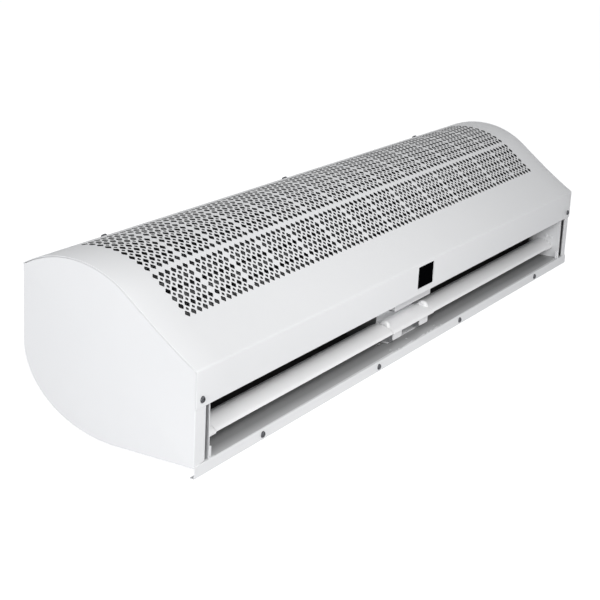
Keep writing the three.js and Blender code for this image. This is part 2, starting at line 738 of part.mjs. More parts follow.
const ringX = motorLength / 2 + 2;
const ringWidth = motorBossLength - 4;
const mountRing = cut(
  bar(axisDepth, axisHeight, motorBoss, ringX, ringX + ringWidth),
  bar(axisDepth, axisHeight, motorBoss - 6 + gap, 0, halfLength),
);
addPair('motor_mount_ring', mountRing, blackRubber);

// Cradle: two arms cut to the casing's curve, joined along the floor.
const armReach = 34;
const cradleFloor = behind(casingInner.slice(0, -1), axisDepth - armReach)
  .filter((p) => p.x <= axisDepth + armReach);
const armOutline = [
  ...cradleFloor, point(axisDepth + motorBoss + 5, axisHeight), point(axisDepth - motorBoss - 5, axisHeight),
];
const saddle = bar(axisDepth, axisHeight, motorBoss + gap, 0, halfLength);
const arm = cut(run(armOutline, ringX + 1, ringX + ringWidth - 1), saddle);
const cradle = join(arm, mirrored(arm),
  run(thicken(cradleFloor, 2), -(ringX + 2), ringX + 2));
add('motor_cradle', cradle, galvanised);

const strapOuter = motorBoss + gap + 2;
const strap = cut(
  join(
    bar(axisDepth, axisHeight, strapOuter, ringX + 1, ringX + ringWidth - 1),
    slab(ringX + 1, ringX + ringWidth - 1, axisDepth - motorBoss - 5, axisDepth + motorBoss + 5,
      axisHeight + gap, axisHeight + gap + 2),
  ),
  saddle,
  slab(0, halfLength, 0, depth, 0, axisHeight + gap),
);
addPair('motor_strap', strap, galvanised);

// ---------------------------------------------------------------- electrics in the motor bay
const panelFront = coverInside;
const controlPanel = roundedWindow(windowWidth + 2 * panelBorder, windowHeight + 2 * panelBorder,
  windowRound, windowCentre, panelFront, panelFront + panelThickness);
add('control_window', controlPanel, blackPlastic);

const boxFront = panelFront + panelThickness + gap;
const boxBack = frontPlateDepth - gap;
const controlBox = cut(
  slab(-windowWidth / 2, windowWidth / 2, boxFront, boxBack,
    windowCentre - windowHeight / 2 + 2, windowCentre + windowHeight / 2 - 3),
  slab(-windowWidth / 2 + 2, windowWidth / 2 - 2, boxFront - 1, boxBack - 2,
    windowCentre - windowHeight / 2 + 4, windowCentre + windowHeight / 2 - 5),
);
add('control_box', controlBox, blackPlastic);

const capacitorDepth = bulkheadFront + 2 + capacitorRadius;
const terminal = (d) => slab(capacitorLength / 2 - 1, capacitorLength / 2 + 8,
  capacitorDepth + d, capacitorDepth + d + 1, capacitorHeight - 3, capacitorHeight + 3);
const capacitor = join(
  bar(capacitorDepth, capacitorHeight, capacitorRadius, -capacitorLength / 2, capacitorLength / 2),
  terminal(-6), terminal(5),
);
add('run_capacitor', capacitor, whitePlastic);

// Clip: a band round the capacitor with a foot on the back of the front plate.
const clip = cut(
  join(
    bar(capacitorDepth, capacitorHeight, capacitorRadius + gap + sheet, -clipWidth / 2, clipWidth / 2),
    slab(-clipWidth / 2, clipWidth / 2, bulkheadFront, bulkheadFront + 1.6,
      capacitorHeight - clipFoot, capacitorHeight),
  ),
  bar(capacitorDepth, capacitorHeight, capacitorRadius + gap, -halfLength, halfLength),
);
add('capacitor_clip', clip, galvanised);

// Terminal block on the right bulkhead: a base with a barrier on each side of every way.
const blockX = bayHalfWidth - plate - gap;
const blockLength = terminalWays * terminalPitch + 2;
const barriers = Array.from({ length: terminalWays + 1 }, (_, i) => slab(
  blockX - 18, blockX - 5,
  terminalDepth + i * terminalPitch, terminalDepth + i * terminalPitch + 2,
  terminalHeight, terminalHeight + terminalTall,
));
const terminalBlock = join(
  slab(blockX - 8, blockX, terminalDepth, terminalDepth + blockLength,
    terminalHeight - 3, terminalHeight + terminalTall + 3),
  ...barriers,
);
add('terminal_block', terminalBlock, whitePlastic);

// Grommet for the supply cable in the back wall: a ring with a groove for the sheet's edge.
const lip = 1.5;
const grommetBore = 5;
const grommetProfile = [
  point(grommetBore, wallOuter - sheet - gap - lip),
  point(grommetRadius + 2.5, wallOuter - sheet - gap - lip),
  point(grommetRadius + 2.5, wallOuter - sheet - gap),
  point(grommetRadius - gap, wallOuter - sheet - gap),
  point(grommetRadius - gap, wallOuter + gap),
  point(grommetRadius + 2.5, wallOuter + gap),
  point(grommetRadius + 2.5, wallOuter + gap + lip),
  point(grommetBore, wallOuter + gap + lip),
];
const grommet = new THREE.LatheGeometry([...grommetProfile, grommetProfile[0]], roundSides)
  .translate(grommetX, 0, grommetHeight);
add('cable_grommet', toSolid(grommet), blackRubber);

// ---------------------------------------------------------------- wall brackets under the casing
// A foot on the wall, a web cut to the casing's curve, and a tab behind the front strip.
function wallBracket(x) {
  const seat = behind(shift(wallLine, casingSkin - gap).slice(0, -1), wallBracketFront)
    .filter((p) => p.x < wallBracketRear);
  const web = [point(wallBracketRear, wallBracketSteel / 2), ...seat.reverse(),
    point(wallBracketFront, wallBracketSteel / 2)].reverse();
  const half = wallBracketWidth / 2;
  const screwHoles = [0.2, 0.8].map((share) => upright(x + half / 2 + 1,
    THREE.MathUtils.lerp(wallBracketFront, wallBracketRear, share), wallScrewRadius, -1, 10));
  return cut(
    join(
      slab(x - half, x + half, wallBracketFront, wallBracketRear, 0, wallBracketSteel),
      run(web, x - half, x - half + wallBracketSteel),
      slab(x - half, x + half, wallBracketFront, wallBracketFront + wallBracketSteel,
        0, floorUnder - gap),
    ),
    crossBar(x, screwHeight, holeRadius, 0, wallBracketFront + 5),
    ...screwHoles,
  );
}
wallBracketX.forEach((x, i) => {
  addPair(`wall_bracket_${i + 1}`, wallBracket(x), galvanised);
});

// ---------------------------------------------------------------- screws
// A pan head with its shank, standing on a surface; turn brings its axis from +depth.
function screw(turn, x, d, h) {
  const profile = [
    point(0, -screwLength), point(screwShank, -screwLength), point(screwShank, gap),
    point(screwHead, gap), point(screwHead, gap + screwHeadHeight * 0.5),
    point(screwHead * 0.6, gap + screwHeadHeight), point(0, gap + screwHeadHeight),
  ];
  const geometry = new THREE.LatheGeometry(profile, boreSides);
  return toSolid(geometry.applyMatrix4(turn).translate(x, d, h));
}
const outOfFront = new THREE.Matrix4().makeRotationX(Math.PI);
const outOfRear = new THREE.Matrix4().makeRotationX(rearTilt + Math.PI / 2);
const outOfSide = new THREE.Matrix4().makeRotationZ(-Math.PI / 2);

addPair('end_screw', screw(outOfFront, endScrewX, 0, endScrewHeight), screwSteel);
wallBracketX.forEach((x, i) => {
  addPair(`strip_screw_${i + 1}`, screw(outOfFront, x, 0, screwHeight), screwSteel);
});
rearScrewXs.forEach((x, i) => {
  add(`rear_screw_${i + 1}`, screw(outOfRear, x, rearSeatPoint.x, rearSeatPoint.y), screwSteel);
});
[-bearingScrewSpan, bearingScrewSpan].forEach((d, i) => {
  addPair(`bearing_screw_${i + 1}`,
    screw(outOfSide, bearingFace + plate, axisDepth + d, axisHeight), screwSteel);
});

export default curtain;
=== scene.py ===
import bpy
import numpy as np
from mathutils import Matrix, Vector


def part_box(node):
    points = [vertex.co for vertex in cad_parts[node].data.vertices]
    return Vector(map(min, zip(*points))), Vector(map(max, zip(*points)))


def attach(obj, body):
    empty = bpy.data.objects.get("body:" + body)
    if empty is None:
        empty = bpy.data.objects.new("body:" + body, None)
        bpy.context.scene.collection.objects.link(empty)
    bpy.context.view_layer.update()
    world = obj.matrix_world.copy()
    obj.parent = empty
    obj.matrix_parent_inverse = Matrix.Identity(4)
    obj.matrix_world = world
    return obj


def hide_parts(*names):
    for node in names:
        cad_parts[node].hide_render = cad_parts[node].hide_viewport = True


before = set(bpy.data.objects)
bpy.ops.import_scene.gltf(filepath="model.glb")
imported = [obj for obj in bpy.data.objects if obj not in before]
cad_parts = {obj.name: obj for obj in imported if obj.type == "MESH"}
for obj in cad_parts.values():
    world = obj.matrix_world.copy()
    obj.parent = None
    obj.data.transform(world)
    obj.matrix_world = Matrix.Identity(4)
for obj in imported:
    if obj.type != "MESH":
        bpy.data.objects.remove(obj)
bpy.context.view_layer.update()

# ---------------------------------------------------------------------------- camera
# It stands off the left end, in front of the outlet and above the crown, and looks along
# the unit with a long lens, a little rolled, so that the far end runs back to the right.
camera_place = Vector((-1.92673, -1.01355, 0.71776))
sight = Vector((0.82993, 0.47335, -0.29523)).normalized()
rightward = Vector((0.50722, -0.86058, 0.04607))
upward = rightward.cross(sight).normalized()
rightward = sight.cross(upward)

camera_data = bpy.data.cameras.new("camera")
camera_data.sensor_fit = "HORIZONTAL"
camera_data.sensor_width = 36.0
camera_data.lens = 89.16
camera_data.clip_end = 60.0
camera = bpy.data.objects.new("camera", camera_data)
camera.matrix_world = Matrix.Translation(camera_place) @ Matrix(
    (rightward, upward, -sight)).transposed().to_4x4()
bpy.context.scene.collection.objects.link(camera)
bpy.context.scene.camera = camera
bpy.context.scene.view_settings.view_transform = "Standard"

# ---------------------------------------------------------------------------- studio
# A plain pale floor under the unit, white air round it, one large soft lamp off the left
# end and one in front. The floor and the air show as white to the eye and in reflections.
WHITE_SHOWN = 1.0


def shown_directly(tree):
    """A value that is 1 for camera, mirror and see-through rays, and 0 for scattered ones."""
    path = tree.nodes.new("ShaderNodeLightPath")
    total = path.outputs["Is Camera Ray"]
    for kind in ("Is Glossy Ray", "Is Transmission Ray"):
        add = tree.nodes.new("ShaderNodeMath")
        add.operation = "MAXIMUM"
        tree.links.new(total, add.inputs[0])
        tree.links.new(path.outputs[kind], add.inputs[1])
        total = add.outputs[0]
    return total


world = bpy.data.worlds.new("studio_air")
world.use_nodes = True
bpy.context.scene.world = world
air = world.node_tree
lit = air.nodes["Background"]
lit.inputs["Color"].default_value = (0.95, 0.97, 1.0, 1.0)
lit.inputs["Strength"].default_value = 0.27
seen = air.nodes.new("ShaderNodeBackground")
seen.inputs["Color"].default_value = (1.0, 1.0, 1.0, 1.0)
seen.inputs["Strength"].default_value = WHITE_SHOWN
either = air.nodes.new("ShaderNodeMixShader")
air.links.new(shown_directly(air), either.inputs[0])
air.links.new(lit.outputs[0], either.inputs[1])
air.links.new(seen.outputs[0], either.inputs[2])
air.links.new(either.outputs[0], air.nodes["World Output"].inputs["Surface"])

FLOOR_HALF = 8.0
floor_mesh = bpy.data.meshes.new("studio_floor")
floor_mesh.from_pydata(
    [(-FLOOR_HALF, -FLOOR_HALF, 0), (FLOOR_HALF, -FLOOR_HALF, 0),
     (FLOOR_HALF, FLOOR_HALF, 0), (-FLOOR_HALF, FLOOR_HALF, 0)], [], [(0, 1, 2, 3)])
floor = bpy.data.objects.new("studio_floor", floor_mesh)
bpy.context.scene.collection.objects.link(floor)
paper = bpy.data.materials.new("studio_paper")
paper.use_nodes = True
tree = paper.node_tree
tree.nodes.clear()
dull = tree.nodes.new("ShaderNodeBsdfDiffuse")
dull.inputs["Color"].default_value = (0.74, 0.74, 0.75, 1.0)
glow = tree.nodes.new("ShaderNodeEmission")
glow.inputs["Color"].default_value = (1.0, 1.0, 1.0, 1.0)
lift = tree.nodes.new("ShaderNodeMath")
lift.operation = "MULTIPLY"
lift.inputs[1].default_value = 0.82
tree.links.new(shown_directly(tree), lift.inputs[0])
tree.links.new(lift.outputs[0], glow.inputs["Strength"])
both = tree.nodes.new("ShaderNodeAddShader")
tree.links.new(dull.outputs[0], both.inputs[0])
tree.links.new(glow.outputs[0], both.inputs[1])
sheet_out = tree.nodes.new("ShaderNodeOutputMaterial")
tree.links.new(both.outputs[0], sheet_out.inputs["Surface"])
floor.data.materials.append(paper)


def soft_lamp(name, place, target, width, height, power, colour):
    """A rectangular lamp at place, facing target."""
    data = bpy.data.lights.new(name, "AREA")
    data.shape = "RECTANGLE"
    data.size = width
    data.size_y = height
    data.energy = power
    data.color = colour
    lamp = bpy.data.objects.new(name, data)
    aim = (Vector(target) - Vector(place)).to_track_quat("-Z", "Y")
    lamp.matrix_world = Matrix.Translation(place) @ aim.to_matrix().to_4x4()
    bpy.context.scene.collection.objects.link(lamp)


soft_lamp("key_lamp", (-0.40, -1.04, 0.98), (-0.18, 0.0, 0.1), 0.8, 0.5, 10.5, (1.0, 0.995, 0.985))
soft_lamp("left_lamp", (-3.2, -0.4, 0.6), (-0.5, 0.0, 0.1), 1.6, 0.9, 47.0, (1.0, 1.0, 1.0))

# ---------------------------------------------------------------------------- front cover
# One sheet of 1.2 mm steel, punched flat, then folded along the apron's crease and rolled
# over the crown, and powder-coated white. It hangs on the casing's rear flange and the two
# end plates' rims, and screws hold its ends and its back edge.
MM = 0.001
cover_low, cover_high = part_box("front_cover")
front = cover_low.y / MM                  # the outlet face, where a section's depth is 0
half_length = cover_high.x / MM
SHEET = 1.2
APRON_DROP = 46.7
FOLD_HEIGHT = 134.2
FOLD_REACH = 2.2                          # how far each side of the crease its bend begins
CROWN_RADIUS = 137.6
CROWN_CENTRE = (186.1, 98.8)
SLOPE_START = (100.4, 206.5)              # where the hollow slope runs into the crown
SLOPE_KNEE = (36.0, 155.3)
BACK_EDGE = 257.0

HOLE_PITCH = 12.6
BLOCK_PITCH = 77.35
BLOCKS = 14
HOLES_ALONG = 6
ROW_GROUPS = ((73.0, 12.1, 6), (147.8, 12.2, 9))    # first row, pitch and count of rows
LARGE_REACH = 5.15                        # centre to corner of a large diamond
SMALL_REACH = 3.0
CORNER_CUT = 0.55                         # rounding of a diamond's corner, along its diagonal

WINDOW_HALF = 26.0
WINDOW_HEIGHTS = (96.3, 129.8)
WINDOW_ROUND = 1.6


def cover_path(s):
    """The cover's outer face in section: s mm along the sheet from the crease, negative down
    the apron. A straight apron, a parabola over the crease, a hollow quadratic slope and an
    arc over the crown. Returns depth and height."""
    t = np.linspace(0.0, 1.0, 400)[:, None]
    start = np.array([0.0, FOLD_HEIGHT])
    slope = ((1 - t) ** 2 * start + 2 * t * (1 - t) * np.array(SLOPE_KNEE)
             + t ** 2 * np.array(SLOPE_START))
    centre = np.array(CROWN_CENTRE)
    first = np.arctan2(*(slope[-1] - centre)[::-1])
    last = np.arccos((BACK_EDGE - centre[0]) / CROWN_RADIUS)
    turn = np.linspace(first, last, 400)[1:]
    arc = centre + CROWN_RADIUS * np.stack([np.cos(turn), np.sin(turn)], 1)
    path = np.vstack([[0.0, FOLD_HEIGHT - APRON_DROP], slope, arc])
    length = np.concatenate([[0.0], np.cumsum(np.hypot(*np.diff(path, axis=0).T))]) - APRON_DROP
    sharp = np.stack([np.interp(s, length, path[:, 0]), np.interp(s, length, path[:, 1])], -1)
    low, high = (np.array([np.interp(end, length, path[:, k]) for k in (0, 1)])
                 for end in (-FOLD_REACH, FOLD_REACH))
    u = np.clip((s + FOLD_REACH) / (2 * FOLD_REACH), 0.0, 1.0)[..., None]
    bend = (1 - u) ** 2 * low + 2 * u * (1 - u) * start + u ** 2 * high
    return np.where((np.abs(s) < FOLD_REACH)[..., None], bend, sharp), length[-1]


def ladder(inner, outer):
    """Triangles between two chains of points that turn about one corner: each step goes
    along the chain whose next point turns less."""
    inner_turn, outer_turn = (np.arctan2(c[:, 1], c[:, 0]) for c in (inner, outer))
    i = j = 0
    faces = []
    while i < len(inner) - 1 or j < len(outer) - 1:
        along_inner = j == len(outer) - 1 or (
            i < len(inner) - 1 and inner_turn[i + 1] <= outer_turn[j + 1])
        faces.append((i, len(inner) + j, i + 1 if along_inner else len(inner) + j + 1))
        i, j = (i + 1, j) if along_inner else (i, j + 1)
    return np.array(faces)


def sheet_plan(xs, ss, quarters=(), gone=None):
    """Plan of a flat sheet. The lines xs and ss divide it into cells of two triangles.
    A quarter of a hole is (centres, sign, inner, outer): it fills the cell on that side of
    each centre with the triangles between the hole's edge and the cell's far sides. gone
    marks cells that are cut away. Returns points and triangles with shared corners."""
    taken = np.zeros((len(xs) - 1, len(ss) - 1), bool) if gone is None else gone.copy()
    points, faces, count = [], [], 0
    for centres, sign, inner, outer in quarters:
        local = np.vstack([inner, outer]) * sign
        rungs = ladder(inner, outer)
        rungs = rungs if sign[0] * sign[1] > 0 else rungs[:, ::-1]
        middle = centres + 0.5 * np.array(sign) * outer.max(0)
        taken[np.searchsorted(xs, middle[:, 0]) - 1, np.searchsorted(ss, middle[:, 1]) - 1] = True
        start = count + len(local) * np.arange(len(centres))
        points.append((centres[:, None] + local[None]).reshape(-1, 2))
        faces.append((start[:, None, None] + rungs[None]).reshape(-1, 3))
        count += len(local) * len(centres)
    grid = np.stack(np.meshgrid(xs, ss, indexing="ij"), -1).reshape(-1, 2)
    i, j = np.nonzero(~taken)
    a = count + i * len(ss) + j
    b = a + len(ss)
    faces += [np.stack([a, b, b + 1], 1), np.stack([a, b + 1, a + 1], 1)]
    points = np.vstack(points + [grid])
    _, keep, merged = np.unique(
        np.round(points * 2000).astype(np.int64) @ np.array([1 << 32, 1]),
        return_index=True, return_inverse=True)
    faces = merged.ravel()[np.vstack(faces)]
    faces = faces[(faces != np.roll(faces, -1, 1)).all(1)]
    used, faces = np.unique(faces, return_inverse=True)
    return points[keep][used], faces.reshape(-1, 3)


def close_sheet(faces, count):
    """Adds the sheet's other side, turned over, and a wall along each edge that one
    triangle alone has. Points of the other side follow the first side's, count of them."""
    edges = np.vstack([faces[:, [0, 1]], faces[:, [1, 2]], faces[:, [2, 0]]])
    key = edges.min(1).astype(np.int64) * count + edges.max(1)
    _, first, uses = np.unique(key, return_index=True, return_counts=True)
    a, b = edges[first[uses == 1]].T
    walls = [np.stack([a, a + count, b + count], 1), np.stack([a, b + count, b], 1)]
    return np.vstack([faces, faces[:, ::-1] + count] + walls)


def make_piece(name, points, faces, material, body="housing", nodes=(), sharp=32,
               lining=None):
    """A mesh of triangles from points in mm, in the frame's axes, smooth except where two
    faces meet at more than sharp degrees. Faces that enclose a negative volume are turned.
    lining is (a second material, which faces have it)."""
    a, b, c = np.asarray(points, float)[np.asarray(faces).T]
    if np.einsum("ij,ij->", a - a[0], np.cross(b - a[0], c - a[0])) < 0:
        faces = np.asarray(faces)[:, ::-1]
    mesh = bpy.data.meshes.new(name)
    mesh.vertices.add(len(points))
    mesh.vertices.foreach_set("co", (np.asarray(points, float) * MM).astype(np.float32).ravel())
    mesh.loops.add(3 * len(faces))
    mesh.loops.foreach_set("vertex_index", np.asarray(faces, np.int32).ravel())
    mesh.polygons.add(len(faces))
    mesh.polygons.foreach_set("loop_start", np.arange(0, 3 * len(faces), 3, dtype=np.int32))
    mesh.polygons.foreach_set("use_smooth", np.ones(len(faces), bool))
    mesh.update(calc_edges=True)
    mesh.set_sharp_from_angle(angle=np.radians(sharp))
    mesh.materials.append(material)
    if lining:
        mesh.materials.append(lining[0])
        mesh.polygons.foreach_set("material_index", lining[1].astype(np.int32))
    piece = bpy.data.objects.new(name, mesh)
    bpy.context.scene.collection.objects.link(piece)
    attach(piece, body)
    if nodes:
        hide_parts(*nodes)
    return piece


def coated(name, colour, rough, grain=1500.0, relief=0.05, cloud=0.03, metallic=0.0,
           shade_by_depth=None, shade_beyond=None):
    """Powder coat or moulded skin: colour clouded a little over some centimetres, roughness that
    varies with it, and a fine pebbled relief of grain cells to the metre. A depth list of (depth in
    mm, share of the colour left), with even falls between them, paints shade into the colour going
    back into the housing. Farther than the given distance from the unit's middle, the colour is
    painted near black as shade."""
    material = bpy.data.materials.new(name)
    material.use_nodes = True
    tree = material.node_tree
    shader = tree.nodes["Principled BSDF"]
    shader.inputs["Metallic"].default_value = metallic
    place = tree.nodes.new("ShaderNodeTexCoord").outputs["Object"]
    clouds = tree.nodes.new("ShaderNodeTexNoise")
    clouds.inputs["Scale"].default_value = 9.0
    clouds.inputs["Detail"].default_value = 3.0
    tree.links.new(place, clouds.inputs["Vector"])
    tint = tree.nodes.new("ShaderNodeMix")
    tint.data_type = "RGBA"
    tint.inputs["A"].default_value = (*[c * (1 - cloud) for c in colour], 1.0)
    tint.inputs["B"].default_value = (*colour, 1.0)
    tree.links.new(clouds.outputs["Fac"], tint.inputs["Factor"])
    shade = tint.outputs["Result"]
    axes = tree.nodes.new("ShaderNodeSeparateXYZ")
    tree.links.new(place, axes.inputs[0])
    # Painted shade: the colour is multiplied down with depth into the housing.
    if shade_by_depth:
        span = tree.nodes.new("ShaderNodeMapRange")
        span.inputs["From Min"].default_value = (front + shade_by_depth[0][0]) * MM
        span.inputs["From Max"].default_value = (front + shade_by_depth[-1][0]) * MM
        tree.links.new(axes.outputs["Y"], span.inputs["Value"])
        ramp = tree.nodes.new("ShaderNodeValToRGB")
        for number, (depth, share) in enumerate(shade_by_depth):
            at = (depth - shade_by_depth[0][0]) / (shade_by_depth[-1][0] - shade_by_depth[0][0])
            step = (ramp.color_ramp.elements[0] if number == 0 else ramp.color_ramp.elements[-1]
                    if number == len(shade_by_depth) - 1 else ramp.color_ramp.elements.new(at))
            step.position = at
            step.color = (share, share, share, 1.0)
        tree.links.new(span.outputs["Result"], ramp.inputs["Fac"])
        shade_mix = tree.nodes.new("ShaderNodeMix")
        shade_mix.data_type = "RGBA"
        shade_mix.blend_type = "MULTIPLY"
        shade_mix.inputs["Factor"].default_value = 1.0
        tree.links.new(shade, shade_mix.inputs["A"])
        tree.links.new(ramp.outputs["Color"], shade_mix.inputs["B"])
        shade = shade_mix.outputs["Result"]
    # Painted shade: farther out than the given distance, the colour is near black.
    if shade_beyond is not None:
        from_middle = tree.nodes.new("ShaderNodeMath")
        from_middle.operation = "ABSOLUTE"
        tree.links.new(axes.outputs["X"], from_middle.inputs[0])
        outside = tree.nodes.new("ShaderNodeMath")
        outside.operation = "GREATER_THAN"
        outside.inputs[1].default_value = shade_beyond * MM
        tree.links.new(from_middle.outputs[0], outside.inputs[0])
        shaded_outside = tree.nodes.new("ShaderNodeMix")
        shaded_outside.data_type = "RGBA"
        shaded_outside.inputs["B"].default_value = (0.016, 0.016, 0.017, 1.0)
        tree.links.new(outside.outputs[0], shaded_outside.inputs["Factor"])
        tree.links.new(shade, shaded_outside.inputs["A"])
        shade = shaded_outside.outputs["Result"]
    tree.links.new(shade, shader.inputs["Base Color"])
    dulling = tree.nodes.new("ShaderNodeMapRange")
    dulling.inputs["To Min"].default_value = rough - 0.05
    dulling.inputs["To Max"].default_value = rough + 0.05
    tree.links.new(clouds.outputs["Fac"], dulling.inputs["Value"])
    tree.links.new(dulling.outputs["Result"], shader.inputs["Roughness"])
    pebbles = tree.nodes.new("ShaderNodeTexNoise")
    pebbles.inputs["Scale"].default_value = grain
    pebbles.inputs["Detail"].default_value = 2.0
    tree.links.new(place, pebbles.inputs["Vector"])
    bump = tree.nodes.new("ShaderNodeBump")
    bump.inputs["Strength"].default_value = relief
    bump.inputs["Distance"].default_value = 0.0003
    tree.links.new(pebbles.outputs["Fac"], bump.inputs["Height"])
    tree.links.new(bump.outputs["Normal"], shader.inputs["Normal"])
    return material


white_coat = coated("white_powder_coat", (0.83, 0.835, 0.845), 0.42)
# The inner primer is a real back coat, but here it is near black as painted shade, so that the
# inside of the housing reads dark.
primer_and_shade = coated("dark_inner_primer_and_painted_shade", (0.016, 0.016, 0.017), 0.7, relief=0.08, cloud=0.3)


def diamond_quarter(reach, cut):
    """A quarter of a diamond hole's edge about its centre, from its corner on the first axis
    to its corner on the second, each corner cut off by cut along the diagonal."""
    tip = reach - cut
    return np.array([[tip, 0.0], [tip - 0.25 * cut, 1.25 * cut],
                     [1.25 * cut, tip - 0.25 * cut], [0.0, tip]])


def grille_quarters():
    """The quarters of all large diamonds. Where four large ones of a block stand round a
    small one, the cell's far corner gives way to a quarter of the small one."""
    block = (np.arange(BLOCKS) - (BLOCKS - 1) / 2) * BLOCK_PITCH
    place = np.arange(HOLES_ALONG)
    columns = block[:, None] + (place - (HOLES_ALONG - 1) / 2) * HOLE_PITCH
    edge = diamond_quarter(LARGE_REACH, CORNER_CUT)
    quarters = []
    for first, pitch, count in ROW_GROUPS:
        rows = first + pitch * np.arange(count)
        half = np.array([HOLE_PITCH, pitch]) / 2
        plain = np.array([[half[0], 0.0], half, [0.0, half[1]]])
        far = half - diamond_quarter(SMALL_REACH, CORNER_CUT)[::-1]
        holed = np.vstack([plain[:1], far, plain[2:]])
        for sign in ((1, 1), (-1, 1), (-1, -1), (1, -1)):
            side = place < HOLES_ALONG - 1 if sign[0] > 0 else place > 0
            line = np.arange(count) < count - 1 if sign[1] > 0 else np.arange(count) > 0
            inside = np.broadcast_to(side[None, :, None] & line[None, None, :],
                                     (BLOCKS, HOLES_ALONG, count))
            centres = np.stack(np.broadcast_arrays(columns[:, :, None], rows[None, None, :]), -1)
            quarters.append((centres[inside], sign, edge, holed))
            quarters.append((centres[~inside], sign, edge, plain))
    lines_x = (columns[:, :, None] + np.array([-0.5, 0.0, 0.5]) * HOLE_PITCH).ravel()
    lines_s = np.concatenate([first + pitch * np.arange(-0.5, count, 0.5)
                              for first, pitch, count in ROW_GROUPS])
    return quarters, lines_x, lines_s


def ruled(*stretches):
    """The lines of several stretches in order, each once."""
    lines = np.sort(np.concatenate([np.atleast_1d(s) for s in stretches]))
    return lines[np.concatenate([[True], np.diff(lines) > 1e-3])]


quarters, lines_x, lines_s = grille_quarters()
_, cover_end = cover_path(np.zeros(1))
window_s = np.array(WINDOW_HEIGHTS) - FOLD_HEIGHT
round_off = np.linspace(0.0, np.pi / 2, 6)
corner_edge = WINDOW_ROUND * np.stack([np.cos(round_off), np.sin(round_off)], 1)
corner_cell = WINDOW_ROUND * np.array([[1.0, 0.0], [1.0, 1.0], [0.0, 1.0]])
for sign in ((1, 1), (-1, 1), (-1, -1), (1, -1)):
    centre = np.array([[sign[0] * (WINDOW_HALF - WINDOW_ROUND),
                        window_s[(sign[1] + 1) // 2] - sign[1] * WINDOW_ROUND]])
    quarters.append((centre, sign, corner_edge, corner_cell))
EDGE_ROUND = 0.6
edge_lines = half_length - EDGE_ROUND * np.array([0.0, 0.1, 0.35, 1.0])
window_lines_x = np.array([WINDOW_HALF - WINDOW_ROUND, WINDOW_HALF])
window_lines_s = np.concatenate([window_s, window_s + np.array([1, -1]) * WINDOW_ROUND])
xs = ruled(-edge_lines, edge_lines, lines_x, -window_lines_x, window_lines_x)
ss = ruled(-APRON_DROP, np.linspace(-FOLD_REACH, FOLD_REACH, 9), window_lines_s,
           np.linspace(FOLD_REACH, lines_s[0], 14), lines_s,
           np.linspace(lines_s[-1], cover_end, 9))
middle_x, middle_s = (xs[1:] + xs[:-1]) / 2, (ss[1:] + ss[:-1]) / 2
window_cells = ((np.abs(middle_x) < WINDOW_HALF)[:, None]
                & ((middle_s > window_s[0]) & (middle_s < window_s[1]))[None, :])
plan, faces = sheet_plan(xs, ss, quarters, window_cells)


def bend_cover(plan, depth):
    """Puts the plan on the cover's section, depth mm under its outer face. Close to each end
    the outer face rounds off by a quarter circle."""
    s = plan[:, 1]
    on, _ = cover_path(s)
    ahead, behind = cover_path(s + 0.2)[0], cover_path(s - 0.2)[0]
    along = ahead - behind
    normal = np.stack([-along[:, 1], along[:, 0]], 1) / np.hypot(*along.T)[:, None]
    past = np.clip(np.abs(plan[:, 0]) - (half_length - EDGE_ROUND), 0.0, EDGE_ROUND)
    drop = (EDGE_ROUND - np.sqrt(EDGE_ROUND ** 2 - past ** 2)) * (depth == 0)
    at = on - normal * (depth + drop)[:, None]
    return np.stack([plan[:, 0], front + at[:, 0], at[:, 1]], 1)


outer = bend_cover(plan, 0.0)
inner = bend_cover(plan, SHEET)
sheet_faces = close_sheet(faces, len(plan))
centre_x, centre_s = plan[sheet_faces % len(plan)].mean(1).T
# Within the grille, the inner side and the holes' walls get the near-black primer: painted shade
# for the dark inside of the housing.
under = (centre_s > lines_s[0]) & (centre_s < lines_s[-1]) & (np.abs(centre_x) < half_length - 2.0)
under[:len(faces)] = False                # the face, not the holes' raw walls or the inner side
under[len(faces):2 * len(faces)] = centre_s[len(faces):2 * len(faces)] > 10.0
make_piece("front_cover_sheet", np.vstack([outer, inner]), sheet_faces, white_coat,
           nodes=["front_cover"], lining=(primer_and_shade, under))

# ---------------------------------------------------------------------------- end plates
# Each end is a steel plate with a rim folded round its whole edge, coated like the cover.
# The front rim is wider, most of all at the left: it closes the outlet's end, and the cover's
# end screw holds on it.
PLATE = 1.5
SEAT = SHEET + 0.3                        # the cover's outer face to what it lies on
PLATE_BOTTOM = 12.7
SCROLL_START = 115.0
SCROLL_TOP = 120.8
RIM = 12.0
FRONT_RIMS = {"left": 22.0, "right": 17.5}
PLATE_ROUND = 1.4


def shifted(line, distance, closed=False):
    """The line moved sideways to the left of its direction, with mitred corners."""
    ahead = np.roll(line, -1, 0) - line
    ahead = ahead / np.hypot(*ahead.T)[:, None]
    if not closed:
        ahead[-1] = ahead[-2]
    back = np.roll(ahead, 1, 0)
    if not closed:
        back[0] = ahead[0]
    side = np.stack([-(ahead + back)[:, 1], (ahead + back)[:, 0]], 1)
    side = side / np.hypot(*side.T)[:, None]
    square = np.stack([-ahead[:, 1], ahead[:, 0]], 1)
    return line + side * (distance / (side * square).sum(1))[:, None]


def filleted(corners, radii, steps=5):
    """An open line with its inner corners rounded: each gives way to a parabola that starts
    and ends radius times the tangent of half the turn away from it."""
    corners = np.asarray(corners, float)
    line = [corners[:1]]
    u = np.linspace(0.0, 1.0, steps + 1)[:, None]
    for before, at, after, radius in zip(corners, corners[1:], corners[2:], radii):
        to, out = (v / np.hypot(*v) for v in (at - before, after - at))
        reach = radius * np.tan(np.arccos(np.clip(to @ out, -1, 1)) / 2)
        start, end = at - to * reach, at + out * reach
        line.append((1 - u) ** 2 * start + 2 * u * (1 - u) * at + u ** 2 * end)
    return np.vstack(line + [corners[-1:]])


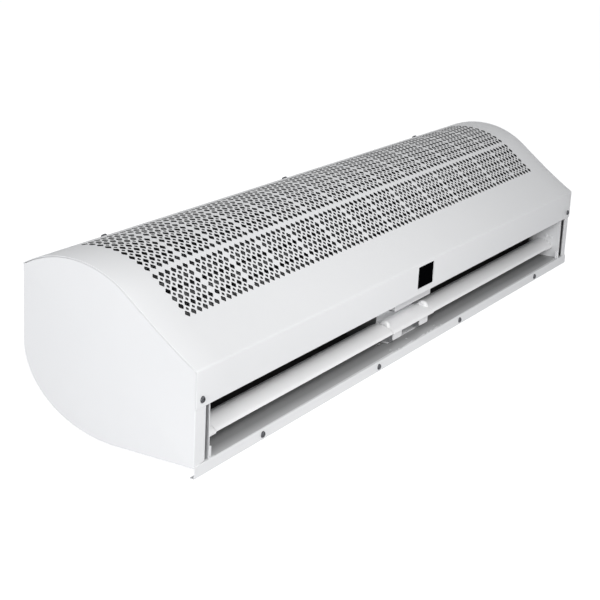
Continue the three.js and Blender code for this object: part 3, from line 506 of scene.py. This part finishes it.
def scroll_arc(inset, steps):
    """A quarter ellipse from the flat floor round to the back wall, inset mm inside the end
    plate's edge."""
    turn = np.linspace(-np.pi / 2, 0.0, steps)
    return np.stack([SCROLL_START + (BACK_EDGE - SCROLL_START - inset) * np.cos(turn),
                     SCROLL_TOP + (SCROLL_TOP - PLATE_BOTTOM - inset) * np.sin(turn)], 1)


def crown_seat(inset, steps, s_from=0.0):
    """The crown's section inset mm inside the cover's outer face, from front to back."""
    s = np.linspace(s_from, cover_end, steps)
    return shifted(cover_path(s)[0], -inset)


def ringed(rings, first_cap, last_cap, closed=True):
    """Triangles over a stack of rings, each joined to the next. A cap is the index of a
    single point for a fan, or None where the ends meet or stay open."""
    m, n = rings
    i, j = np.meshgrid(np.arange(m - 1), np.arange(n if closed else n - 1), indexing="ij")
    a, b = i * n + j, i * n + (j + 1) % n
    faces = [np.stack(corners, -1).reshape(-1, 3) for corners in ((a, b, b + n), (a, b + n, a + n))]
    around = np.arange(n)
    if first_cap is not None:
        faces.append(np.stack([np.full(n, first_cap), (around + 1) % n, around], 1))
    if last_cap is not None:
        base = (m - 1) * n
        faces.append(np.stack([np.full(n, last_cap), base + around, base + (around + 1) % n], 1))
    return np.vstack(faces)


def end_plate_shape(front_rim):
    """A flat face with a rounded edge, a rim and the same again inside. For each of the
    outline's points the section is (inset, distance in from the outer face)."""
    crown_line = crown_seat(SEAT, 90, FOLD_REACH)
    crown_line = crown_line[crown_line[:, 0] > SEAT][::-1]
    floor_line = np.linspace([SEAT, PLATE_BOTTOM], [SCROLL_START, PLATE_BOTTOM], 12)[:-1]
    front_line = np.array([[SEAT, FOLD_HEIGHT - 3.0], [SEAT, FOLD_HEIGHT - 3.5],
                           [SEAT, 70.0], [SEAT, 17.0], [SEAT, 16.0]])
    outline = np.vstack([floor_line, scroll_arc(0.0, 48), crown_line, front_line])
    inward = shifted(outline, 1.0, closed=True) - outline
    on_front = ((outline[:, 0] < SEAT + 1e-6) & (outline[:, 1] > 16.5)
                & (outline[:, 1] < FOLD_HEIGHT - 3.2))
    rim = np.where(on_front, front_rim, RIM)[:, None]
    turn = np.linspace(0.0, np.pi / 2, 5)
    rings = [(PLATE_ROUND * (1 - np.sin(a)), PLATE_ROUND * (1 - np.cos(a)) + 0 * rim) for a in turn]
    rings += [(0.0, rim), (PLATE, rim), (PLATE, PLATE + 0 * rim)]
    points = np.vstack([np.hstack([distance, outline + inward * inset])
                        for inset, distance in rings])
    centre = np.array([0.0, 130.0, 115.0])
    points = np.vstack([points, centre, centre + np.array([PLATE, 0.0, 0.0])])
    count = len(rings) * len(outline)
    return points, ringed((len(rings), len(outline)), count, count + 1)


for side, word in ((-1, "left"), (1, "right")):
    points, faces = end_plate_shape(FRONT_RIMS[word])
    placed = np.stack([side * (half_length - points[:, 0]), front + points[:, 1], points[:, 2]], 1)
    make_piece(f"{word}_end_plate_sheet", placed, faces, white_coat,
               nodes=[f"{word}_end_plate"])

# ---------------------------------------------------------------------------- back casing
# One folded sheet: the strip along the front with its lip, the floor, the scroll behind the
# wheels, the back wall and the flange the cover is screwed to. Its floor has screw holes and
# two drain slots behind the strip. It has the cover's coat outside; inside, painted shade darkens
# it from the strip back under the vane, to near black in the chamber.
STRIP_TOP = 15.7
STRIP_LIP = 7.0
WALL_INSET = 3.0
REAR_FLANGE = 15.0
CASING_HALF = half_length - 1.8
FLANGE_HALF = half_length - 14.0
FLOOR_HOLES = ((-558.0, 7.5), (-82.0, 10.0), (-19.5, 15.0), (65.0, 10.0), (558.0, 7.5))
FLOOR_HOLE_ROUND = 2.0
HOLE_CELL = 2.5
SLOT_X = 71.0
SLOT_HALF = 5.5
SLOT_DEPTHS = (34.0, 37.0)
GROMMET_X = 30.0
GROMMET_ROUND = 9.0
GROMMET_CELL = 12.0
CHAMBER_START = 52.0                      # from here back the inner sides are painted near black, as shade in the chamber


def casing_path():
    """The casing's section on its inner side, from the strip's lip to the rear flange."""
    rim_line = crown_seat(SEAT + SHEET, 200)
    wall = BACK_EDGE - WALL_INSET
    height = np.interp(wall, rim_line[:, 0], rim_line[:, 1])
    flange = np.interp(wall - REAR_FLANGE * 0.86, rim_line[:, 0], rim_line[:, 1])
    front_part = filleted([(STRIP_LIP, 0.0), (0.0, 0.0), (0.0, STRIP_TOP),
                           (SCROLL_START, STRIP_TOP)], (1.5, 1.6))
    rear_part = filleted([(wall, SCROLL_TOP), (wall, height),
                          (wall - REAR_FLANGE * 0.86, flange)], (1.8,))
    return np.vstack([front_part, scroll_arc(WALL_INSET, 60)[1:], rear_part[1:]])


def on_line(line, s):
    """Points and leftward normals s mm along a line."""
    length = np.concatenate([[0.0], np.cumsum(np.hypot(*np.diff(line, axis=0).T))])
    at = np.stack([np.interp(s, length, line[:, 0]), np.interp(s, length, line[:, 1])], -1)
    step = 0.15
    along = np.stack([np.interp(s + step, length, line[:, k])
                      - np.interp(s - step, length, line[:, k]) for k in (0, 1)], -1)
    normal = np.stack([-along[:, 1], along[:, 0]], 1) / np.hypot(*along.T)[:, None]
    return at, normal


def quarter_circles(centres, radius, cell):
    """Quarters of round holes, each in a square cell."""
    turn = np.linspace(0.0, np.pi / 2, 7)
    edge = radius * np.stack([np.cos(turn), np.sin(turn)], 1)
    square = cell * np.array([[1.0, 0.0], [1.0, 1.0], [0.0, 1.0]])
    return [(np.asarray(centres, float), sign, edge, square)
            for sign in ((1, 1), (-1, 1), (-1, -1), (1, -1))]


line = casing_path()
length = np.concatenate([[0.0], np.cumsum(np.hypot(*np.diff(line, axis=0).T))])
to_floor = np.interp(50.0, line[:40, 0], length[:40]) - 50.0       # a floor point's s, less depth
wall_rows = (line[:, 0] > BACK_EDGE - WALL_INSET - 1e-6)
to_wall = (length - line[:, 1])[wall_rows][0]
strip_end = length[np.argmax((line[:, 1] >= STRIP_TOP - 1e-6) & (line[:, 0] > 0.5))] + 0.01
flange_start = length[wall_rows][-1] + 0.01
grommet_low, grommet_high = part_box("cable_grommet")
grommet_s = to_wall + (grommet_low.z + grommet_high.z) / 2 / MM
floor_centres = np.array(FLOOR_HOLES) + np.array([0.0, to_floor])
quarters = quarter_circles(floor_centres, FLOOR_HOLE_ROUND, HOLE_CELL)
quarters += quarter_circles([(GROMMET_X, grommet_s)], GROMMET_ROUND, GROMMET_CELL)
slot_round = (SLOT_DEPTHS[1] - SLOT_DEPTHS[0]) / 2
slot_mid = to_floor + sum(SLOT_DEPTHS) / 2
for side in (-1, 1):
    for end in (-1, 1):
        centre = [(side * SLOT_X + end * (SLOT_HALF - slot_round), slot_mid)]
        quarters += [q for q in quarter_circles(centre, slot_round, slot_round) if q[1][0] == end]
xs = ruled(-half_length, -CASING_HALF, -FLANGE_HALF, half_length, CASING_HALF, FLANGE_HALF,
           (floor_centres[:, :1] + HOLE_CELL * np.array([[-1, 0, 1]])).ravel(),
           GROMMET_X + GROMMET_CELL * np.array([-1, 0, 1]),
           *[side * SLOT_X + end * (SLOT_HALF - slot_round * np.array([0, 1]))
             for side in (-1, 1) for end in (-1, 1)])
ss = ruled(0.0, length[-1], to_floor + np.array([5.0, 7.5, 10.0, 12.5, 15.0, 17.5]),
           slot_mid + slot_round * np.array([-1, 0, 1]), to_floor + CHAMBER_START, strip_end,
           flange_start,
           grommet_s + GROMMET_CELL * np.array([-1, 0, 1]),
           np.linspace(0.3, 3.5, 7) + STRIP_LIP - 2.0,
           length[(line[:, 1] > STRIP_TOP - 2) & (line[:, 0] < 3)],
           np.linspace(to_floor + SCROLL_START, to_wall + SCROLL_TOP, 50),
           np.linspace(flange_start - 2.5, flange_start + 2.5, 6)[1:-1])
middle_x, middle_s = (xs[1:] + xs[:-1]) / 2, (ss[1:] + ss[:-1]) / 2
gone = (np.abs(middle_x) > CASING_HALF)[:, None] & (middle_s > strip_end)[None, :]
gone |= (np.abs(middle_x) > FLANGE_HALF)[:, None] & (middle_s > flange_start)[None, :]
gone |= (np.abs(np.abs(middle_x) - SLOT_X) < SLOT_HALF - slot_round)[:, None] \
    & (np.abs(middle_s - slot_mid) < slot_round)[None, :]
plan, faces = sheet_plan(xs, ss, quarters, gone)
at, normal = on_line(line, plan[:, 1])
sides = [np.stack([plan[:, 0], front + p[:, 0], p[:, 1]], 1) for p in (at, at - normal * SHEET)]
sheet_faces = close_sheet(faces, len(plan))
# Painted shade on the casing's inner side: the white darkens from the strip back under the vane,
# and is near black in the chamber.
shaded_inner_coat = coated("inner_coat_painted_shade", (0.80, 0.805, 0.815), 0.5, shade_by_depth=(
    (1.0, 0.80), (12.0, 0.54), (19.0, 0.38), (30.0, 0.36), (44.0, 0.36), (CHAMBER_START, 0.02)))
inner_side = np.zeros(len(sheet_faces), bool)
inner_side[:len(faces)] = plan[faces, 1].mean(1) > to_floor + 3.0
make_piece("back_casing_sheet", np.vstack(sides), sheet_faces, white_coat,
           nodes=["back_casing"], lining=(shaded_inner_coat, inner_side))


# ---------------------------------------------------------------------------- inner walls
# Flat coated side plates close the two outlet channels. Two small screws hold each one's
# vane bearing. A galvanised tongue behind the apron parts the intake from the outlet.
SIDE_PLATE_IN = 32.5                      # inner face of a side plate, in from the unit's end


def dress(material, *nodes):
    """Gives a solid that is kept as it is its material in every slot."""
    for name in nodes:
        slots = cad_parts[name].material_slots
        for place in range(len(slots)):
            slots[place].material = material


# Painted shade on the side plates: the coat darkens to near black going back into the chamber. The
# right plate is also near black outboard of its inner face, in the narrow gap by its end plate.
for word, beyond in (("left", half_length), ("right", half_length - SIDE_PLATE_IN + 0.4)):
    dress(coated(f"{word}_side_plate_coat_painted_shade", (0.83, 0.835, 0.845), 0.42, shade_beyond=beyond,
                 shade_by_depth=((CHAMBER_START, 1.0), (CHAMBER_START + 10.0, 0.02))),
          f"{word}_side_plate")


def lofted(sections, xs):
    """A closed body through sections at the places xs. Each section runs out along one side
    and back along the other, so opposite points pair up over the ends."""
    m, n = len(sections), len(sections[0])
    points = np.vstack([np.column_stack([np.full(n, x), front + s[:, 0], s[:, 1]])
                        for s, x in zip(sections, xs)])
    i = np.arange(n // 2 - 1)
    end = np.vstack([np.stack([i, n - 1 - i, i + 1], 1),
                     np.stack([i + 1, n - 1 - i, n - 2 - i], 1)])
    return points, np.vstack([ringed((m, n), None, None), end, end[:, ::-1] + (m - 1) * n])


def carried(section, x0, x1):
    """One section carried from x0 to x1."""
    return lofted([section, section], [x0, x1])


def folded(line, thickness):
    """A folded sheet's section: the line and, back again, the line moved to its right."""
    return np.vstack([line, shifted(line, -thickness)[::-1]])


zinc = coated("zinc_sheet", (0.40, 0.41, 0.42), 0.38, grain=260.0, relief=0.03, cloud=0.25,
              metallic=0.85)
tongue_low, tongue_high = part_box("left_tongue")
low, back = tongue_low.z / MM, tongue_high.y / MM - front
tongue_line = filleted([(1.8, low + 12), (1.8, low), (back - 50, low + 6), (back - 6, low + 16),
                        (back - 1, low + 22), (back - 1, low + 32), (back - 9, low + 40)],
                       (1.5, 12, 12, 8, 8))
for side, word in ((-1, "left"), (1, "right")):
    x0, x1 = sorted((side * 59.3, side * 567.2))
    points, faces = carried(folded(tongue_line[::-1], SHEET), x0, x1)
    make_piece(f"{word}_tongue_sheet", points, faces, zinc, nodes=[f"{word}_tongue"])


def turned(profile, steps):
    """A closed body turned about the first axis. The profile is (distance along the axis,
    radius) and starts and ends on the axis."""
    turn = np.linspace(0.0, 2 * np.pi, steps, endpoint=False)
    inner = profile[1:-1]
    rings = np.stack([np.broadcast_to(inner[:, :1], (len(inner), steps)),
                      inner[:, 1:] * np.cos(turn), inner[:, 1:] * np.sin(turn)], -1)
    points = np.vstack([rings.reshape(-1, 3), [[profile[0, 0], 0, 0], [profile[-1, 0], 0, 0]]])
    count = len(inner) * steps
    return points, ringed((len(inner), steps), count, count + 1)


def pan_head(radius, height, recess=True):
    """A pan-head screw's head about the first axis, its face outward. The dome is
    height times (1 - (r / radius)^4)^0.5, and a cross of two slots is sunk in its middle."""
    rho = np.concatenate([np.linspace(0.06, 0.62, 9), [0.72, 0.82, 0.9, 0.96, 1.0]])
    turn = np.linspace(0.0, 2 * np.pi, 64, endpoint=False)
    r, a = np.meshgrid(rho * radius, turn, indexing="ij")
    rise = height * np.sqrt(np.clip(1 - (r / radius) ** 4, 0.0, 1.0))
    if recess:
        across = np.minimum(np.abs(r * np.cos(a)), np.abs(r * np.sin(a)))
        sunk = np.clip((0.19 * radius - across) / (0.08 * radius), 0.0, 1.0)
        sunk *= np.clip((0.6 * radius - r) / (0.12 * radius), 0.0, 1.0)
        rise = rise - sunk * 0.55 * height
    rings = np.stack([rise, r * np.cos(a), r * np.sin(a)], -1)[::-1]
    foot = rings[:1] * np.array([0.0, 1.0, 1.0])
    rings = np.concatenate([foot, rings])
    m, n = rings.shape[:2]
    tip = [[height * (0.45 if recess else 1.0), 0.0, 0.0]]
    points = np.vstack([rings.reshape(-1, 3), tip, [[0.0, 0.0, 0.0]]])
    return points, ringed((m, n), m * n + 1, m * n)


screw_steel = coated("dark_screw_steel", (0.09, 0.092, 0.1), 0.3, grain=700.0, relief=0.08,
                     cloud=0.3, metallic=0.9)
PLATE_SCREW_ROUND, PLATE_SCREW_HEIGHT = 2.6, 1.6
PLATE_SCREWS = ((28.7, 53.6), (18.6, 51.7))         # depth and height of each
for side, word in ((-1, "left"), (1, "right")):
    for number, (depth, height) in enumerate(PLATE_SCREWS, 1):
        points, faces = pan_head(PLATE_SCREW_ROUND, PLATE_SCREW_HEIGHT)
        inward = points[:, 0] * -side
        placed = np.stack([side * (half_length - SIDE_PLATE_IN) + inward,
                           front + depth + points[:, 1], height + points[:, 2]], 1)
        make_piece(f"{word}_bearing_plate_screw_{number}", placed, faces, white_coat)

# ---------------------------------------------------------------------------- floor plugs
# Soft rubber plugs close the floor's screw holes and drain slots from below, so that no draught
# comes through them. Each is a low mushroom head under the sheet.
rubber = coated("black_rubber", (0.02, 0.02, 0.02), 0.8, grain=800.0, relief=0.1)
PLUG_PROFILE = np.array([[0.0, 0.0], [0.0, 0.92], [0.3, 1.0], [1.0, 1.0], [1.5, 0.9], [1.5, 0.0]])
PLUG_ROUND = 3.4
plugs = [(x, d, PLUG_ROUND, PLUG_ROUND) for x, d in FLOOR_HOLES]
plugs += [(side * SLOT_X, sum(SLOT_DEPTHS) / 2, SLOT_HALF + 1.2, 2.6) for side in (-1, 1)]
for number, (x, d, reach_x, reach_d) in enumerate(plugs, 1):
    points, faces = turned(PLUG_PROFILE, 32)
    placed = np.column_stack([x + reach_x * points[:, 1], front + d + reach_d * points[:, 2],
                              STRIP_TOP - SHEET - 0.05 - points[:, 0]])
    make_piece(f"floor_plug_{number}", placed, faces, rubber)

# ---------------------------------------------------------------------------- bay front plate
# Between the outlet's two halves a coated steel plate closes the motor bay. Its upper part
# stands forward as a shallow channel, and its lower part is set back and ends in a foot.
BAY_HALF = 59.0
UPPER_DEPTH, LOWER_DEPTH = 18.0, 47.0
FOOT_DEPTH = 27.0
STEP_HEIGHT = 67.0
bay_low, bay_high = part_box("bay_front_plate")
foot_top = bay_low.z / MM + SHEET
lower_line = filleted([(FOOT_DEPTH, foot_top), (LOWER_DEPTH, foot_top), (LOWER_DEPTH, STEP_HEIGHT),
                       (UPPER_DEPTH + SHEET, STEP_HEIGHT)], (1.3, 1.3))
points, faces = carried(folded(lower_line, SHEET), -BAY_HALF, BAY_HALF)
make_piece("bay_front_foot", points, faces, white_coat, nodes=["bay_front_plate"])
channel_line = filleted([(-BAY_HALF, LOWER_DEPTH + SHEET), (-BAY_HALF, UPPER_DEPTH),
                         (BAY_HALF, UPPER_DEPTH), (BAY_HALF, LOWER_DEPTH + SHEET)], (1.5, 1.5))
channel = np.vstack([channel_line, shifted(channel_line, SHEET)[::-1]])
n = len(channel)
points = np.vstack([np.column_stack([channel[:, 0], front + channel[:, 1], np.full(n, z)])
                    for z in (STEP_HEIGHT, bay_high.z / MM)])
_, faces = carried(channel, 0.0, 1.0)
make_piece("bay_front_channel", points, faces, white_coat, nodes=["bay_front_plate"])

# ---------------------------------------------------------------------------- outlet vanes
# A long coated vane in each half of the outlet, crowned above and hollow below, turns on pins.
# A moulded cap carries the same nose to the side plate and is drawn lower at the front.
CHORD = 44.5
PIVOT = np.array([34.0, 40.0])
BLADE_TOP = ((0.47, -0.004), (0.27, 0.108), (0.067, 0.148), (-0.18, 0.103), (-0.38, 0.004),
             (-0.46, -0.08))                # in shares of the chord about the pivot
BLADE_UNDER = ((0.47, -0.03), (0.2, 0.01), (0.0, -0.105), (-0.18, -0.096), (-0.427, -0.105))
CAP_UNDER = ((-0.463, -0.085), (-0.457, -0.14), (-0.38, -0.15), (-0.24, -0.105), (0.0, -0.105),
             (0.2, 0.01), (0.47, -0.03))
CAP_ROUNDS = (1.0, 1.5, 2.0, 4.0, 4.0)


def smooth_through(points, steps):
    """A uniform Catmull-Rom curve through the points, steps points to a span."""
    p = np.asarray(points, float)
    p = np.vstack([p[:1], p, p[-1:]])
    t = np.linspace(0.0, 1.0, steps, endpoint=False)[None, :, None]
    a, b, c, d = (p[k:len(p) - 3 + k, None, :] for k in range(4))
    curve = 0.5 * (2 * b + (c - a) * t + (2 * a - 5 * b + 4 * c - d) * t ** 2
                   + (3 * b - a - 3 * c + d) * t ** 3)
    return np.vstack([curve.reshape(-1, 2), p[-1:]])


def resampled(line, count):
    """The line again, with count points at even distances."""
    length = np.concatenate([[0.0], np.cumsum(np.hypot(*np.diff(line, axis=0).T))])
    s = np.linspace(0.0, length[-1], count)
    return np.stack([np.interp(s, length, line[:, k]) for k in (0, 1)], 1)


def vane_section(capped):
    """The vane's section about its pivot, tail to nose over the top and back underneath,
    with the blade's under side or the cap's, which is drawn lower at the front."""
    top = resampled(smooth_through(BLADE_TOP, 8), 30) * CHORD
    if capped:
        under = resampled(filleted(np.array(CAP_UNDER) * CHORD, CAP_ROUNDS), 30)
    else:
        under = resampled(smooth_through(BLADE_UNDER, 8), 30)[::-1] * CHORD
    return np.vstack([top, under]) + PIVOT


def shrunk(section, amount):
    """The section drawn in by amount towards its own middle line, for a rounded end."""
    n = len(section)
    middle = (section + section[::-1]) / 2
    half = section - middle
    size = np.maximum(np.hypot(*half.T), 1e-6)[:, None]
    return middle + half * np.clip(1 - amount / size, 0.1, 1.0)


white_plastic = coated("white_moulded_plastic", (0.95, 0.95, 0.955), 0.32, grain=900.0, relief=0.02)
# The vanes' coat is whiter than the cover's: painted light, standing in for the light bounced onto
# them under the apron.
vane_coat_with_painted_light = coated("vane_coat_painted_light", (0.97, 0.97, 0.975), 0.3)
for side, word in ((-1, "left"), (1, "right")):
    blade_low, blade_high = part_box(f"{word}_outlet_vane")
    cap_low, cap_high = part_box(f"{word}_vane_cap")
    near, far = sorted((blade_low.x / MM * side, blade_high.x / MM * side))
    xs = np.array([near, near + 0.8, far - 0.1, far])
    sections = [shrunk(vane_section(False), d) for d in (0.6, 0.0, 0.0, 0.1)]
    points, faces = lofted(sections, side * xs)
    make_piece(f"{word}_vane_blade", points, faces, vane_coat_with_painted_light, f"{word}_vane",
               [f"{word}_outlet_vane"])
    near, far = sorted((cap_low.x / MM * side, cap_high.x / MM * side))
    xs = np.array([near, near + 0.3, near + 0.8, far - 2.0, far - 1.2, far - 0.5, far])
    inset = (0.5, 0.15, 0.0, 0.0, 0.2, 0.7, 1.6)
    sections = [shrunk(vane_section(True), d) for d in inset]
    points, faces = lofted(sections, side * xs)
    make_piece(f"{word}_vane_cap_shell", points, faces, white_plastic,
               f"{word}_vane", [f"{word}_vane_cap"])

# ---------------------------------------------------------------------------- middle bracket
# A white moulded bracket crosses the motor bay between the vanes, with their nose in front.
# A round ear at each of its ends stands up behind that nose and holds the inner pivot pin.
NOSE_HALF = BAY_HALF + 8.3               # it runs on in front of the ears
crown = smooth_through(BLADE_TOP, 8) * CHORD + PIVOT
crown = crown[crown[:, 0] < LOWER_DEPTH - 0.3]
edge = crown[-1]
lip = filleted([crown[-2], edge, edge + (0.1, -1.6), edge + (5.0, -2.6)], (0.8, 0.8))
nose_line = np.vstack([crown[:-1], lip[1:]])
points, faces = carried(np.vstack([nose_line, shifted(nose_line, SHEET)[::-1]]),
                        -NOSE_HALF, NOSE_HALF)
make_piece("middle_nose", points, faces, white_plastic, nodes=["middle_bracket"])
TAB_SPAN = (30.0, 58.0)
TAB_DEPTHS = (19.0, 20.5)
TAB_HEIGHTS = (22.0, 40.5)
EAR_ROUND = 8.6
EAR_PLACE = (31.5, 43.9)                  # depth and height of its middle
for side, word in ((-1, "left"), (1, "right")):
    u = np.linspace(0.0, np.pi, 13)
    rim = np.column_stack([BAY_HALF + 4.2 - 4.1 * np.cos(u), EAR_ROUND - 2.6 + 2.6 * np.sin(u)])
    profile = np.vstack([[rim[0, 0], 0.0], rim, [rim[-1, 0], 0.0]])
    points, faces = turned(profile, 64)
    placed = np.stack([side * points[:, 0], front + EAR_PLACE[0] + points[:, 1],
                       EAR_PLACE[1] + points[:, 2]], 1)
    make_piece(f"{word}_bracket_ear", placed, faces, white_plastic,
               nodes=["middle_bracket"])

for side, word in ((-1, "left"), (1, "right")):
    (x0, x1), (d0, d1), (z0, z1) = TAB_SPAN, TAB_DEPTHS, TAB_HEIGHTS
    u = np.linspace(0.0, np.pi / 2, 6)
    outline = np.vstack([
        [[x0, z1]], np.column_stack([x0 + 3 - 3 * np.cos(u), z0 + 3 - 3 * np.sin(u)]),
        np.column_stack([x1 - 1.5 + 1.5 * np.sin(u), z0 + 1.5 - 1.5 * np.cos(u)]), [[x1, z1]]])
    n = len(outline)
    middle = (x0 + x1) / 2, z0 + 13.0
    points = np.vstack(
        [np.column_stack([side * outline[:, 0], np.full(n, front + d), outline[:, 1]])
         for d in (d0, d1)] + [[[side * middle[0], front + d, middle[1]] for d in (d0, d1)]])
    make_piece(f"{word}_bracket_tab", points, ringed((2, n), 2 * n, 2 * n + 1), white_plastic,
               nodes=["middle_bracket"])

# ---------------------------------------------------------------------------- screws
# Dark steel pan heads with a cross recess: one at each end of the apron, four along the
# strip into the wall brackets, three over the cover's back edge and two at each bearing.
HEAD_ROUND = 4.3
HEAD_HEIGHT = 2.6
end_path, _ = cover_path(np.array([cover_end - 8.3, cover_end - 7.7]))
rear_along = (end_path[1] - end_path[0]) / np.hypot(*(end_path[1] - end_path[0]))
rear_out = np.array([-rear_along[1], rear_along[0]])


def stand_screw(node, at, out, spin):
    """A screw head on a surface: at is the point, out the surface's outward direction."""
    points, faces = pan_head(HEAD_ROUND, HEAD_HEIGHT)
    out = np.asarray(out, float)
    first = np.array([0.0, 0.0, 1.0]) if abs(out[2]) < 0.5 else np.array([1.0, 0.0, 0.0])
    first = first - out * (first @ out)
    first /= np.linalg.norm(first)
    second = np.cross(out, first)
    y, z = (np.cos(spin) * points[:, 1] - np.sin(spin) * points[:, 2],
            np.sin(spin) * points[:, 1] + np.cos(spin) * points[:, 2])
    placed = at + points[:, :1] * out + y[:, None] * first + z[:, None] * second
    make_piece(f"{node}_head", placed, faces, screw_steel, nodes=[node])


def middle_of(node):
    """The middle of a node's box, in mm."""
    low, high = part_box(node)
    return np.array((low + high) / 2) / MM


rng = np.random.default_rng(7)
front_screws = [f"{side}_{kind}" for side in ("left", "right")
                for kind in ("end_screw", "strip_screw_1", "strip_screw_2")]
for node in front_screws:
    at = middle_of(node)
    at[1] = front
    stand_screw(node, at, (0.0, -1.0, 0.0), rng.uniform(0, np.pi / 2))
for number in (1, 2, 3):
    at = middle_of(f"rear_screw_{number}")
    on, _ = cover_path(np.array([cover_end - 8.0]))
    at[1:] = front + on[0, 0], on[0, 1]
    stand_screw(f"rear_screw_{number}", at, (0.0, *rear_out), rng.uniform(0, np.pi / 2))
for side, word in ((-1, "left"), (1, "right")):
    for number in (1, 2):
        node = f"{word}_bearing_screw_{number}"
        low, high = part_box(node)
        at = middle_of(node)
        at[0] = side * (max(abs(low.x), abs(high.x)) / MM - HEAD_HEIGHT)
        stand_screw(node, at, (side, 0.0, 0.0), rng.uniform(0, np.pi / 2))

# ---------------------------------------------------------------------------- fan and bearings
# Two aluminium cross-flow wheels turn on the motor's shaft through rubber hubs. Ground stub
# shafts carry their outer ends in rubber bushes, held by folded zinc brackets.
# The wheels' aluminium is kept dark grey as painted shade, so that the inside of the housing reads
# dark through the grille and the outlet.
aluminium = coated("wheel_aluminium", (0.25, 0.255, 0.26), 0.4, grain=400.0, relief=0.05,
                   cloud=0.15, metallic=0.8)
bright_steel = coated("bright_steel", (0.6, 0.61, 0.62), 0.25, grain=400.0, relief=0.03,
                      cloud=0.1, metallic=0.95)
for word in ("left", "right"):
    dress(aluminium, f"{word}_fan_wheel")
    dress(rubber, f"{word}_drive_hub", f"{word}_bearing_bush")
    dress(bright_steel, f"{word}_stub_shaft", f"{word}_inner_pivot_pin", f"{word}_outer_pivot_pin")
    dress(zinc, f"{word}_bearing_bracket")

# ---------------------------------------------------------------------------- motor
# A black enamelled motor with a shaft out of both ends lies in a folded zinc cradle. Straps
# over rubber rings hold it, and a bulkhead on each side shuts its bay off from the wheels.
motor_paint = coated("dark_motor_paint", (0.02, 0.023, 0.027), 0.5, grain=500.0, relief=0.1)
dress(motor_paint, "fan_motor")
dress(bright_steel, "motor_shaft")
dress(zinc, "motor_cradle")
for word in ("left", "right"):
    dress(zinc, f"{word}_motor_strap", f"{word}_motor_bulkhead")
    dress(rubber, f"{word}_motor_mount_ring")

# ---------------------------------------------------------------------------- electrics
# A smoked window in the apron covers the control box. The motor's capacitor is clipped in
# the bay, a moulded block takes the supply, and a rubber grommet lines the hole it comes by.
pane = coated("dark_window_pane", (0.0015, 0.0015, 0.002), 0.6, grain=1200.0, relief=0.02)
pane.node_tree.nodes["Principled BSDF"].inputs["Specular IOR Level"].default_value = 0.0
dress(pane, "control_window", "control_box")
dress(white_plastic, "run_capacitor", "terminal_block")
dress(zinc, "capacitor_clip")
dress(rubber, "cable_grommet")

# ---------------------------------------------------------------------------- wall brackets
# Four folded zinc brackets under the casing are screwed to the wall, and the strip's screws
# go into their front ends.
for word in ("left", "right"):
    dress(zinc, f"{word}_wall_bracket_1", f"{word}_wall_bracket_2")
